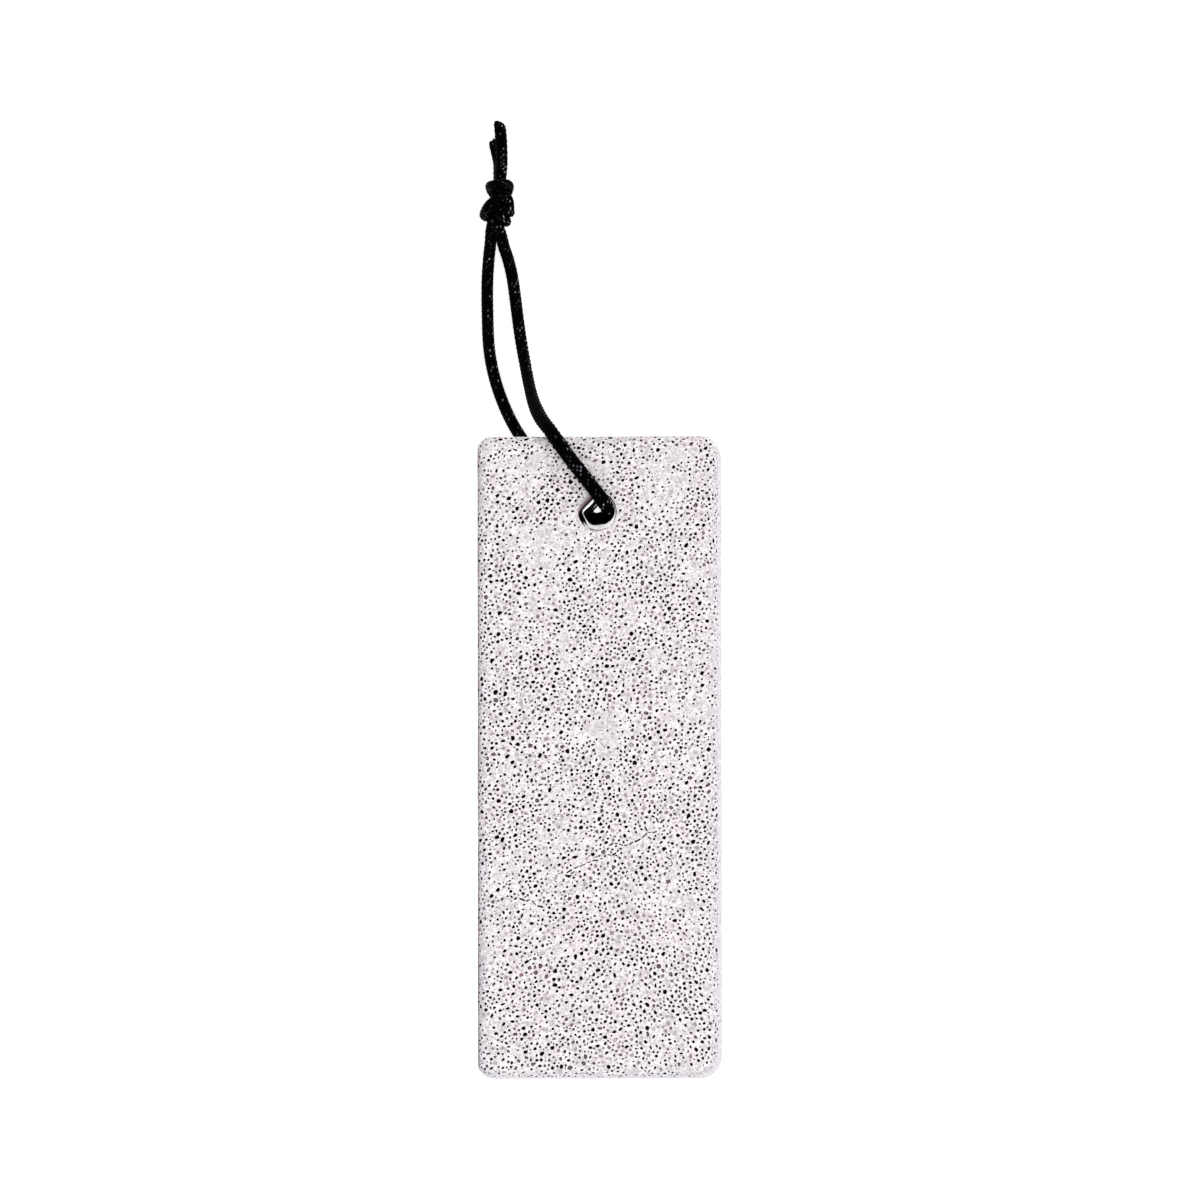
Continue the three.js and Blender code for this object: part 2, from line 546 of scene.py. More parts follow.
# The knot is pulled tight as two rows of points, in millimetres.
KNOT_POINT_GAP = 0.45
KNOT_STRAND_RADIUS = 0.8
KNOT_CONTACT = 1.45  # nearest that the middles of two strands may come
KNOT_PUSH = 0.25
KNOT_PUSH_CALM = 0.6
KNOT_SHORTENING = 0.998
KNOT_MOST_STRETCH = 1.03
KNOT_SMOOTHING = 0.15
KNOT_FLOOR = 0.8
KNOT_TOP = 6.0
KNOT_LOOSE_TOP = 12.0
KNOT_ROUNDS = 480
KNOT_FLATTEN_ROUNDS = 250
KNOT_SHAPE_ROUNDS = 150
KNOT_MIDDLE = (-16.6, 87.8, 5.0)
KNOT_LOOSE_SIZE = 4.2
KNOT_LOOSE_LENGTH = 9.0
KNOT_LOOSE_POINTS = 60
KNOT_LOOSE_OFFSET = 0.95
KNOT_TURN = math.radians(292)
KNOT_ENDS = (84.0, 92.3)
LOWER_LEG_START = (-17.75, 81.0, 0.98)
# Where the knot bulges to the left and to the right, for its upper and its lower turn.
UPPER_BULGES = ((-17.49, 90.41), (-14.63, 90.48))
LOWER_BULGES = ((-18.52, 85.99), (-14.45, 86.13))
BULGE_PULL = 0.12

# The braided tube
RING_GAP = 0.16
RING_POINTS = 44
PATH_EASING = 8
SQUEEZED_IN_KNOT = (84.2, 91.6)
SQUEEZE_FADE = 1.2
BEARING_SPREAD = 0.16
BEARING_FROM = 9.0
BEARING_FADE = 6.0
YARN_GAP_REACH = 0.85
YARN_RISE = 0.18
TIP_MELT_LENGTH = 0.6
TIP_NARROWING = 0.25
SLANTED_RINGS = 8
TIP_SLANT = 0.5
FIBRES = 16
FIBRE_RINGS = 5
FIBRE_SIDES = 4
FIBRE_RADIUS = 0.11
FIBRE_RELIEF = 0.6
# Where the painted highlight on the braid is made to come from: the right, a little from the lower end.
SHEEN_FROM = np.array([0.75, -0.3, 0.6])
# Arbitrary numbers that turn a crossing's place in the braid into its chance to shine.
SCRAMBLE = (12.9898, 78.233, 43758.5453)


def loose_knot():
    """Two strands, side by side, through one loose overhand knot above its final place.

    Their middle is the plain polynomial curve of a trefoil knot."""
    t = np.linspace(-2.05, 2.05, KNOT_LOOSE_POINTS)
    size, length = KNOT_LOOSE_SIZE, KNOT_LOOSE_LENGTH
    along = t**5 - 10 * t
    across = (t**3 - 3 * t) / 2 * size
    up = (t**4 - 4 * t**2 + 2) / 2.6 * size
    cos, sin = math.cos(KNOT_TURN), math.sin(KNOT_TURN)
    centre = np.stack(
        [across * cos + up * sin, along / along.max() * length / 2, up * cos - across * sin],
        axis=1,
    )
    tangents = np.gradient(centre, axis=0)
    tangents /= np.linalg.norm(tangents, axis=1)[:, None]
    beside = np.array([1.0, 0.0, 0.0])
    sides = []
    for tangent in tangents:
        beside = beside - (beside @ tangent) * tangent
        beside /= np.linalg.norm(beside)
        sides.append(beside)
    offset = np.array(sides) * KNOT_LOOSE_OFFSET
    middle = np.array(KNOT_MIDDLE)
    return middle + centre + offset, middle + centre - offset


def knot_strands():
    """The two strands through the tight knot, each from the loop to its tail."""
    legs = (LOOP_ROUTE[1::-1], [LOWER_LEG_START, LOOP_ROUTE[-1]])
    tails = (SHORT_TAIL_ROUTE[:2], LONG_TAIL_ROUTE[:2])
    # Every second point of the loose knot is enough, and its ends give way to the legs and tails.
    strands = [
        evenly_spaced(curve_through([*leg, *loose[2:-2:2], *tail], KNOT_POINT_GAP), KNOT_POINT_GAP)
        for leg, loose, tail in zip(legs, loose_knot(), tails)
    ]
    return pull_tight(strands)


def pull_tight(strands):
    """Shortens both strands little by little, keeping them apart, until the knot is tight."""
    counts = [len(s) for s in strands]
    points = np.vstack(strands)
    strand = np.repeat([0, 1], counts)
    number = np.concatenate([np.arange(c) for c in counts])
    ends = np.repeat(counts, counts)
    held = (number < 2) | (number >= ends - 2)
    free = (~held).astype(float)
    first = np.flatnonzero(strand[:-1] == strand[1:])
    rest = np.linalg.norm(points[first + 1] - points[first], axis=1)
    inner = np.flatnonzero(~held)
    near = int(math.ceil(KNOT_CONTACT * 1.35 / KNOT_POINT_GAP))
    one, other = np.triu_indices(len(points), 1)
    apart = (strand[one] != strand[other]) | (np.abs(number[one] - number[other]) > near)
    one, other = one[apart], other[apart]
    for tries in range(KNOT_ROUNDS):
        spans = np.linalg.norm(points[first + 1] - points[first], axis=1)
        if (spans / rest).mean() < KNOT_MOST_STRETCH:
            rest *= KNOT_SHORTENING
        lowered = min(tries / KNOT_FLATTEN_ROUNDS, 1.0)
        top = KNOT_LOOSE_TOP + (KNOT_TOP - KNOT_LOOSE_TOP) * lowered
        for _ in range(3):
            keep_lengths(points, first, rest, free)
            keep_apart(points, one, other, held)
            middles = (points[inner - 1] + points[inner + 1]) / 2
            points[inner] += (middles - points[inner]) * KNOT_SMOOTHING
            if tries > KNOT_SHAPE_ROUNDS:
                draw_bulges(points, strand, held)
            points[:, 2] = np.clip(points[:, 2], KNOT_FLOOR, top)
    return points[: counts[0]], points[counts[0] :]


def draw_bulges(points, strand, held):
    """Eases each strand's outermost bends towards where the knot bulges."""
    low, high = KNOT_ENDS
    inside = (points[:, 1] > low) & (points[:, 1] < high) & ~held
    for side, outermost in ((0, np.argmin), (1, np.argmax)):
        bends = []
        for which in (0, 1):
            numbers = np.flatnonzero(inside & (strand == which))
            bends.append(numbers[outermost(points[numbers, 0])])
        bends.sort(key=lambda i: points[i, 1])
        for bend, bulges in zip(bends, (LOWER_BULGES, UPPER_BULGES)):
            move = (np.array(bulges[side]) - points[bend, :2]) * BULGE_PULL
            for step in range(-2, 3):
                if not held[bend + step]:
                    points[bend + step, :2] += move * (1 - abs(step) / 3)


def keep_lengths(points, first, rest, free):
    """Moves neighbouring points of a strand to their resting distance, every other pair at a time."""
    for part in (0, 1):
        a = first[part::2]
        b = a + 1
        gap = points[b] - points[a]
        span = np.linalg.norm(gap, axis=1)
        weight = np.maximum(free[a] + free[b], 1.0)
        move = ((span - rest[part::2]) / span / weight)[:, None] * gap
        points[a] += move * free[a][:, None]
        points[b] -= move * free[b][:, None]


def keep_apart(points, one, other, held):
    """Pushes points of the strands apart where they are closer than the strands are thick."""
    gap = points[other] - points[one]
    square = (gap * gap).sum(1)
    touching = square < KNOT_CONTACT**2
    a, b, gap = one[touching], other[touching], gap[touching]
    span = np.sqrt(square[touching])
    push = (KNOT_PUSH * (KNOT_CONTACT - span) / np.maximum(span, 1e-6))[:, None] * gap
    moves = np.zeros_like(points)
    np.add.at(moves, a, -push)
    np.add.at(moves, b, push)
    moves[held] = 0
    points += moves * KNOT_PUSH_CALM


def cord_path():
    """The cord's centre line in millimetres, from the long tail's tip to the short tail's."""
    short_strand, long_strand = knot_strands()
    long_end = np.array(LONG_TAIL_ROUTE[:1:-1])
    short_end = np.array(SHORT_TAIL_ROUTE[2:])
    loop = np.array(LOOP_ROUTE[2:-2][::-1])
    route = [long_end, long_strand[::-1], loop, short_strand, short_end]
    path = curve_through(np.vstack(route), RING_GAP)
    for _ in range(PATH_EASING):
        path[1:-1] = (path[:-2] + 2 * path[1:-1] + path[2:]) / 4
    return path


def knot_share(path):
    """How far each point of the cord is squeezed in the knot, from 0 to 1."""
    low, high = SQUEEZED_IN_KNOT
    inside = np.minimum(path[:, 1] - low, high - path[:, 1])
    return np.clip(inside / SQUEEZE_FADE + 0.5, 0, 1)


def bearing_share(path):
    """How far each point of the cord is pressed flat on the block's edge and front, from 0 to 1."""
    return fade(path[:, 2], BEARING_FROM, BEARING_FADE)


def braid_places(path):
    """How far along the cord each ring is, and at what angle each of a ring's points is."""
    along = np.arange(len(path)) * length_of(path) / (len(path) - 1)
    angle = np.arange(RING_POINTS) * TAU / RING_POINTS
    return along[:, None], angle[None, :]


def braid_turns(settings, along, angle):
    """How many yarns of each of the two ways have been passed, over length and angle."""
    turn = settings.yarns * angle / TAU
    step = along / (settings.pick / MM)
    return turn + step, turn - step


def braid_relief(settings, along, angle):
    """Height of the yarns, from 0 in the gaps to 1 on the crowns, over length and angle."""
    first, second = braid_turns(settings, along, angle)
    return np.sqrt(np.abs(np.sin(math.pi * first) * np.sin(math.pi * second)))


def braid_sheen(settings, along, angle):
    """How brightly the crowns of the braid are painted as catching the light: most not at all, one in
    ten fully.
    """
    first, second = braid_turns(settings, along, angle)
    mixed = np.floor(first) * SCRAMBLE[0] + np.floor(second) * SCRAMBLE[1]
    chance = np.mod(np.sin(mixed) * SCRAMBLE[2], 1.0)
    crown = fade(braid_relief(settings, along, angle), 0.88, 0.08)
    return crown * fade(chance, 0.6, 0.3)


def lit_side(rings, path):
    """How far each point of the tube faces where the light on the braid comes from."""
    outward = rings - path[:, None, :]
    outward /= np.linalg.norm(outward, axis=2)[:, :, None]
    return np.clip(0.1 + 1.1 * (outward @ SHEEN_FROM), 0, 1) ** 2


def cord_rings(settings, path, frames):
    """The rings of the braided tube, with its yarns as relief."""
    radius = settings.diameter / MM / 2
    tangents, across, up = frames
    along, angle = braid_places(path)
    relief = braid_relief(settings, along, angle)
    size = radius + (KNOT_STRAND_RADIUS - radius) * knot_share(path)
    size *= 1 + BEARING_SPREAD * bearing_share(path)
    reach = size[:, None] * (YARN_GAP_REACH + YARN_RISE * relief)
    from_tip = np.minimum(along, along[-1] - along)
    melted = np.clip(1 - from_tip / TIP_MELT_LENGTH, 0, 1)
    reach *= 1 - TIP_NARROWING * melted**2
    sideways = (reach * np.cos(angle))[:, :, None] * across[:, None, :]
    upward = (reach * np.sin(angle))[:, :, None] * up[:, None, :]
    rings = path[:, None, :] + sideways + upward
    slant_tip(rings, path, tangents)
    return rings


def slant_tip(rings, path, tangents):
    """Shears the first few rings, so that the long tail ends in a slanting cut."""
    for i in range(SLANTED_RINGS):
        share = 1 - i / SLANTED_RINGS
        offset = rings[i] - path[i]
        rings[i] += np.outer(offset[:, 0], tangents[i]) * TIP_SLANT * share


def close_ends(points, faces, last):
    """Closes the tube's first and last rings, each with a fan about its middle."""
    for start in (0, last):
        ring = list(range(start, start + RING_POINTS))
        middle = len(points)
        points.append(np.mean([points[i] for i in ring], axis=0))
        for a, b in zip(ring, ring[1:] + ring[:1]):
            faces.append((a, b, middle) if start else (b, a, middle))


def frayed_fibres(rng, tip, outward, across, up, radius):
    """Thin fibre ends that stick out of the short tail's tip."""
    points, faces = [], []
    for _ in range(FIBRES):
        angle = rng.uniform(0, TAU)
        side = across * math.cos(angle) + up * math.sin(angle)
        root = tip + side * radius * rng.uniform(0.2, 0.8) - outward * 0.2
        lean = rng.uniform(0.1, 0.7)
        length = rng.uniform(0.3, 0.8)
        bend = np.array([rng.uniform(-1, 1), rng.uniform(-1, 1), 0.0]) * 0.3
        base = len(points)
        for ring in range(FIBRE_RINGS):
            t = ring / (FIBRE_RINGS - 1)
            middle = root + (outward + side * lean) * length * t + bend * length * t * t
            thick = FIBRE_RADIUS * (1 - 0.7 * t)
            for k in range(FIBRE_SIDES):
                turn = k * TAU / FIBRE_SIDES
                points.append(middle + (across * math.cos(turn) + up * math.sin(turn)) * thick)
        last = len(points) - FIBRE_SIDES
        faces.append(tuple(base + k for k in reversed(range(FIBRE_SIDES))))
        faces.append(tuple(last + k for k in range(FIBRE_SIDES)))
        faces += ring_faces(FIBRE_RINGS, FIBRE_SIDES, base)
    return points, faces


def cord_material(settings):
    nodes = Nodes("nylon_cord")
    fine = nodes.noise(9000.0, 2.0)
    tone = nodes.range(fine, 0.3, 0.7, 0.7, 1.6)
    relief = nodes.attribute("relief")
    # Painted shade: the gaps between the yarns are darkened.
    crown = nodes.range(relief, 0.2, 0.95, 0.25, 1.0)
    shade = nodes.math("MULTIPLY", tone, crown)
    colour = nodes.mix(1.0, tuple(settings.colour), nodes.grey(shade), "MULTIPLY")
    # Painted highlight: the crossings that would catch the light get the pale sheen colour.
    patchy = nodes.range(nodes.noise(330.0, 2.0), 0.42, 0.6, 0.12, 1.0)
    sheen = nodes.math("MULTIPLY", nodes.attribute("sheen"), patchy)
    colour = nodes.mix(sheen, colour, tuple(settings.sheen))
    nodes.link(colour, nodes.shader.inputs["Base Color"])
    rough = nodes.range(nodes.noise(2500.0, 3.0), 0.3, 0.7, 0.3, 0.5)
    nodes.link(rough, nodes.shader.inputs["Roughness"])
    nodes.shader.inputs["Specular IOR Level"].default_value = 0.01
    nodes.link(nodes.bump(fine, 0.00003, 0.6), nodes.shader.inputs["Normal"])
    return nodes.material


def make_cord(settings):
    rng = random.Random(11)
    path = cord_path()
    frames = carried_frames(path)
    rings = cord_rings(settings, path, frames)
    points = list(rings.reshape(-1, 3))
    faces = ring_faces(len(path), RING_POINTS)
    close_ends(points, faces, len(points) - RING_POINTS)
    tip_frame = [direction[-1] for direction in frames]
    radius = settings.diameter / MM / 2
    fibre_points, fibre_faces = frayed_fibres(rng, path[-1], *tip_frame, radius)
    shift = len(points)
    faces += [tuple(i + shift for i in face) for face in fibre_faces]
    points += fibre_points
    cord = new_mesh_object("cord", np.array(points) * MM, faces)

    along, angle = braid_places(path)
    relief = braid_relief(settings, along, angle)
    sheen = braid_sheen(settings, along, angle) * lit_side(rings, path)
    others = len(points) - relief.size
    set_attribute(cord, "relief", "POINT", np.append(relief, np.full(others, FIBRE_RELIEF)))
    set_attribute(cord, "sheen", "POINT", np.append(sheen, np.zeros(others)))
    cord.data.materials.append(cord_material(settings))
    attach(cord, "root")
    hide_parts("cord_loop", "cord_knot", "cord_tail_long", "cord_tail_short")
    leaves = Vector(LONG_TAIL_ROUTE[-1]) * MM


# ---------------------------------------------------------------------------------------
# Liner
# ---------------------------------------------------------------------------------------

LINER_POINTS = 96
LINER_SHIFT = np.array([0.12, 0.0])
FLAT_SHARPNESS = 28.0
BACK_ROUND = 0.1
OUTER_RINGS = 30
INNER_RINGS = 60
# The flat side: how far it is from the hole's axis, at each depth below the liner's top.
FLAT_SIDE = [(0.0, 1.85), (0.5, 1.75), (7.3, 1.76), (7.8, 1.7), (8.3, 1.76), (16.3, 1.95)]
BRIGHT_RIDGE = (7.45, 8.15)

# The rolled lip at the front is wider on one side of the hole and dented on another.
LIP_RINGS = 19
LIP_HALF_WIDTH = 0.13
LIP_HALF_HEIGHT = 0.12
LIP_FLAT = 1.83
LIP_FLAT_WIDENING = 0.1
LIP_WIDE_TOWARDS = math.radians(275)
LIP_WIDENING = 0.31
LIP_WIDE_INWARD = 0.1
LIP_DENT_TOWARDS = math.radians(205)
LIP_DENT = 0.4
LIP_DENT_NARROWING = 0.45
LIP_DENT_DEPTH = 3.0


def liner_reach(angle, radius, flat):
    """How far a round outline with one side pressed flat reaches, softly turned at the flat's ends."""
    towards = np.maximum(np.cos(angle - LINER_FLAT_TOWARDS), 1e-3)
    both = radius**-FLAT_SHARPNESS + (flat / towards) ** -FLAT_SHARPNESS
    return both ** (-1 / FLAT_SHARPNESS)


def liner_material(settings):
    nodes = Nodes("plated_liner")
    broad = nodes.noise(900.0, 2.0)
    tone = nodes.range(broad, 0.3, 0.7, 0.86, 1.04)
    colour = nodes.mix(1.0, tuple(settings.colour), nodes.grey(tone), "MULTIPLY")
    # Painted shade: where the inside attribute is 1, the metal is made dark and not metallic. This
    # stands in for the shadow and dark reflections in the hole.
    colour = nodes.mix(nodes.attribute("inside"), colour, tuple(settings.painted_inner_shade))
    nodes.link(colour, nodes.shader.inputs["Base Color"])
    bare_metal = nodes.math("SUBTRACT", 1.0, nodes.attribute("inside"))
    nodes.link(bare_metal, nodes.shader.inputs["Metallic"])
    nodes.shader.inputs["Specular IOR Level"].default_value = 0.0
    drawn = nodes.noise(1.0, 3.0, 0.6, nodes.stretched((9000.0, 9000.0, 500.0)))
    nodes.link(nodes.range(drawn, 0.3, 0.7, 0.1, 0.26), nodes.shader.inputs["Roughness"])
    nodes.link(nodes.bump(drawn, 0.00002, 0.5), nodes.shader.inputs["Normal"])
    return nodes.material


def lip_shape(angle):
    """The lip's half width, and how far inward its middle is, for each angle round the hole."""
    flat = fade(np.cos(angle - LINER_FLAT_TOWARDS), 0.6, 0.2)
    wide = np.clip(np.cos(angle - LIP_WIDE_TOWARDS), 0, 1) ** 2
    dent = fade(np.cos(angle - LIP_DENT_TOWARDS), 0.86, 0.14)
    half = LIP_HALF_WIDTH + LIP_WIDENING * wide + LIP_FLAT_WIDENING * flat
    inward = LIP_WIDE_INWARD * wide + LIP_DENT * dent
    return half * (1 - LIP_DENT_NARROWING * dent), inward


def liner_rings(radius, flat, wall):
    """Closed rings of the liner's skin, from outside at the back, over the lip, to inside.

    With each ring comes how much painted shade it gets: 1 where shadow and dark reflections fall, 0 on
    the lip's top, the bright ridge and near the back rim."""
    angle = np.arange(LINER_POINTS) * TAU / LINER_POINTS
    way = np.stack([np.cos(angle), np.sin(angle)], axis=1)
    middle_of_hole = LINER_SHIFT + (0.0, hole_centre())
    half, inward = lip_shape(angle)
    top = BLOCK_THICKNESS - LINER_FRONT_RECESS
    bottom = LINER_BACK_RECESS
    lip_level = top - LIP_HALF_HEIGHT
    under_lip = lip_level - 1.5 * LIP_HALF_HEIGHT
    depths, distances = zip(*FLAT_SIDE)
    rings, dark = [], []

    def add(reach, level, shade):
        plan = way * reach[:, None] + middle_of_hole
        rings.append(np.column_stack([plan, np.full(LINER_POINTS, level)]))
        dark.append(shade)

    def skin(level, inset):
        crushed = min(float(np.interp(top - level, depths, distances)), flat)
        dented = inward * max(1 - (top - level) / LIP_DENT_DEPTH, 0.0)
        return liner_reach(angle, radius, crushed) - dented - inset

    for level in np.linspace(bottom + BACK_ROUND, under_lip, OUTER_RINGS):
        add(skin(level, 0.0), level, 1.0 if level > bottom + 1 else 0.0)
    lip_middle = liner_reach(angle, radius, LIP_FLAT) - wall / 2 - inward
    for turn in np.radians(np.linspace(-60, 240, LIP_RINGS)):
        level = lip_level + LIP_HALF_HEIGHT * math.sin(turn)
        add(lip_middle + half * math.cos(turn), level, 1.0 if math.sin(turn) < -0.4 else 0.0)
    for level in np.linspace(under_lip, bottom + BACK_ROUND, INNER_RINGS):
        ridge = BRIGHT_RIDGE[0] < top - level < BRIGHT_RIDGE[1]
        add(skin(level, wall), level, 0.0 if ridge or level < bottom + 0.5 else 1.0)
    for turn in np.linspace(0, math.pi, 6)[1:-1]:
        inset = wall * (0.5 + 0.5 * math.cos(turn))
        add(skin(bottom, inset), bottom + BACK_ROUND * (1 - math.sin(turn)), 0.0)
    return rings, dark


def make_liner(settings):
    radius, flat, wall = settings.radius / MM, settings.flat / MM, settings.wall / MM
    rings, dark = liner_rings(radius, flat, wall)
    inside = np.repeat(dark, LINER_POINTS)
    faces = ring_faces(len(rings), LINER_POINTS)
    last = (len(rings) - 1) * LINER_POINTS
    for k in range(LINER_POINTS):
        turn = (k + 1) % LINER_POINTS
        faces.append((last + k, last + turn, turn, k))
    liner = new_mesh_object("hole_liner_metal", block_to_world(np.vstack(rings)), faces)
    set_attribute(liner, "inside", "POINT", inside)
    liner.data.materials.append(liner_material(settings))
    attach(liner, "root")
    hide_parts("hole_liner")


# ---------------------------------------------------------------------------------------
# Stone
# ---------------------------------------------------------------------------------------

SAMPLE_GAP = 0.6
HOLE_POINTS = 56
ROUND_ROWS = 5
SEAM_ROWS = 18

# How far use and tumbling have worn the surface down
WEAR = 0.05
BUMPS = 0.035
CHIPS = 0.16

# Pores
SCATTER_CELL = 1.2
PORE_SPREAD = 0.26  # how much the logarithm of their radius varies
PORE_SMALLEST = 0.105
PORE_LARGEST = 0.36
PORE_GAP = 0.035
PORE_TRIES = 30
WORN_PORE_SCALE = 1.2
RINGED_ABOVE = 0.22
RINGED_CHANCE = 0.25
EDGE_GAP = 0.12
EDGE_PORES_REACH = 0.35
FRONT_WALLS_ABOVE = 0.24  # radius from which a pore has a ring of points down its wall
PLAIN_WALLS_ABOVE = 0.28
BACK_PORE_SHARE = 0.5
SIDE_PORE_SHARE = 0.3

# Colours of the small marks on the stone, beside those in its settings
WARM_CLOUD = (1.0, 0.985, 0.975)
COOL_CLOUD = (0.975, 0.985, 1.0)
# Painted shade along the left edge, for the light coming from the right
LEFT_SHADE_COLOUR = (0.22, 0.15, 0.18)
LINE_COLOUR = (0.34, 0.27, 0.29)
LINE_STRENGTH = 0.24
# Painted shade of pores too small to be cut out
SPECK_COLOUR = (0.2, 0.125, 0.145)
SPECK_STRENGTH = 0.48
# Painted shade part way down in a pore
HALF_SHADE_COLOUR = (0.27, 0.165, 0.19)

# The ledge round the front of the hole, which the liner's lip bears on
LEDGE_DEPTH = 1.5
LEDGE_ROUND = 2.97
LEDGE_FLAT = 1.98
BORE_ROWS = 8
LEDGE_ROWS = 6

# Where the front is bare, and where its pores are larger, as (x, y, reach) in the block's frame.
BARE_PATCHES = [
    (-12, 44, 4),
    (-11, 33, 3),
    (12, 42, 3),
    (3, 5, 4),
    (9, -20, 4),
    (-4, -30, 3),
    (16, 8, 3),
]
COARSE_PATCHES = [
    (3, 12, 5),
    (-12, 0, 4),
    (-9, -33, 6),
    (2, -36, 6),
    (12, -40, 5),
    (-13, 26, 4),
]

# Fine cracks in the front, in the block's frame, as strings of short slots.
CRACK_STRETCH = 1.2
CRACK_HALF_WIDTH = 0.12
CRACK_DEPTH = 0.25
CRACKS = [
    [(1.7, -13.9), (2.6, -13.6), (3.3, -13.6), (4.0, -14.0), (4.8, -13.8)]
    + [(5.6, -13.4), (6.9, -12.9), (7.8, -11.8), (7.3, -10.9)],
    [(7.8, -11.8), (8.4, -12.0), (9.4, -11.7)],
    [(8.3, -9.3), (9.0, -9.5), (9.6, -10.5), (10.6, -9.8)],
    [(1.5, -15.3), (2.2, -15.5), (3.0, -15.0), (3.3, -14.5), (3.9, -14.4)],
    [(2.6, -15.4), (3.3, -15.6), (3.6, -16.1)],
    [(-2.9, -17.2), (-1.7, -16.7), (-0.9, -16.3), (0.3, -16.2)],
    [(-4.9, -18.3), (-3.9, -17.5), (-2.9, -17.2)],
    [(-12.2, -22.0), (-11.3, -22.6), (-10.4, -22.3), (-9.5, -23.3), (-8.3, -23.5)],
    [(-5.1, -18.4), (-4.4, -19.0), (-4.2, -18.4), (-3.5, -17.9)],
    [(10.6, -15.6), (11.5, -16.3), (11.7, -16.9), (11.1, -17.3)],
]


def from_hole(x, y):
    """Distance of a place on the front or back from the hole's middle."""
    return math.hypot(x, y - hole_centre())


def hole_circle():
    """Points of the hole's rim, seen from the front."""
    angles = np.arange(HOLE_POINTS) * TAU / HOLE_POINTS
    return np.column_stack([np.cos(angles), np.sin(angles)]) * HOLE_RADIUS + (0.0, hole_centre())


class Outline:
    """The block's outline: its arc length samples, and how the flat pattern wraps round its edge."""

    def __init__(self, settings):
        self.round = settings.edge_round / MM
        self.half_x = settings.width / MM / 2 - self.round + 2 * WEAR
        self.half_y = BLOCK_LENGTH / 2 - self.round
        self.corners = {k: v - self.round for k, v in CORNERS.items()}
        self.wrap = self.round * math.pi / 2
        self.bases, self.normals = self.samples()
        full = self.bases + self.normals * self.round
        steps = np.linalg.norm(np.roll(full, -1, axis=0) - full, axis=1)
        self.along = np.concatenate([[0], np.cumsum(steps)])
        self.length = float(self.along[-1])

    def samples(self):
        """Points on the inner outline, counter-clockwise, and their outward directions."""
        order = [(1, -1, -90), (1, 1, 0), (-1, 1, 90), (-1, -1, 180)]
        bases, normals = [], []
        for k, (sx, sy, start) in enumerate(order):
            radius = self.corners[(sx, sy)]
            centre = np.array([sx * (self.half_x - radius), sy * (self.half_y - radius)])
            turns = max(4, int((radius + self.round) * math.pi / 2 / SAMPLE_GAP))
            for i in range(turns + 1):
                angle = math.radians(start + 90 * i / turns)
                normal = np.array([math.cos(angle), math.sin(angle)])
                bases.append(centre + normal * radius)
                normals.append(normal)
            next_x, next_y, _ = order[(k + 1) % 4]
            next_radius = self.corners[(next_x, next_y)]
            next_size = np.array([self.half_x - next_radius, self.half_y - next_radius])
            goal = next_size * (next_x, next_y) + normals[-1] * next_radius
            count = int(np.linalg.norm(goal - bases[-1]) / SAMPLE_GAP)
            begin = bases[-1]
            for i in range(1, count):
                bases.append(begin + (goal - begin) * i / count)
                normals.append(normals[-1])
        return np.array(bases), np.array(normals)

    def nearest(self, points):
        """Signed distance of pattern points from the inner outline, the nearest point, the way out."""
        side = np.where(points >= 0, 1, -1)
        radius = np.zeros(len(points))
        for (sx, sy), value in self.corners.items():
            radius[(side[:, 0] == sx) & (side[:, 1] == sy)] = value
        size = np.array([self.half_x, self.half_y])
        q = np.abs(points) - size + radius[:, None]
        outside = np.maximum(q, 0)
        reach = np.linalg.norm(outside, axis=1)
        distance = reach + np.minimum(q.max(axis=1), 0) - radius
        flat_way = np.zeros_like(points)
        flat_way[np.arange(len(points)), q.argmax(axis=1)] = 1
        way = np.where(reach[:, None] > 1e-9, outside / np.maximum(reach, 1e-9)[:, None], flat_way)
        way = way * side
        return distance, points - way * distance[:, None], way

    def cap_surface(self, points, front):
        """Place and outward direction of pattern points of the front or back."""
        distance, base, way = self.nearest(points)
        turn = np.clip(distance, 0, self.wrap) / self.round
        out = np.where(distance > 0, self.round * np.sin(turn), distance)
        plan = base + way * out[:, None]
        drop = self.round * (1 - np.cos(turn))
        sign = 1 if front else -1
        level = BLOCK_THICKNESS - drop if front else drop
        place = np.column_stack([plan, level])
        normal = np.column_stack([way * np.sin(turn)[:, None], sign * np.cos(turn)])
        return place, normal

    def side_surface(self, points):
        """Place and outward direction of pattern points of the sides, as (along, up)."""
        along = np.mod(points[:, 0], self.length)
        closed = np.vstack([self.bases, self.bases[:1]])
        ways = np.vstack([self.normals, self.normals[:1]])
        base = np.stack([np.interp(along, self.along, closed[:, k]) for k in range(2)], axis=1)
        way = np.stack([np.interp(along, self.along, ways[:, k]) for k in range(2)], axis=1)
        way /= np.linalg.norm(way, axis=1)[:, None]
        place = np.column_stack([base + way * self.round, points[:, 1]])
        return place, np.column_stack([way, np.zeros(len(points))])


class Scatter:
    """Remembers circles that are taken, in a grid, so that pores can be kept clear of each other."""

    def __init__(self):
        self.grid = {}

    def cell(self, x, y):
        return int(x // SCATTER_CELL), int(y // SCATTER_CELL)

    def around(self, x, y):
        column, row = self.cell(x, y)
        for i in range(column - 1, column + 2):
            for j in range(row - 1, row + 2):
                yield from self.grid.get((i, j), ())

    def clear(self, x, y, reach, gap):
        return all(
            (x - px) ** 2 + (y - py) ** 2 > (reach + other + gap) ** 2
            for px, py, other in self.around(x, y)
        )

    def add(self, x, y, reach):
        self.grid.setdefault(self.cell(x, y), []).append((x, y, reach))


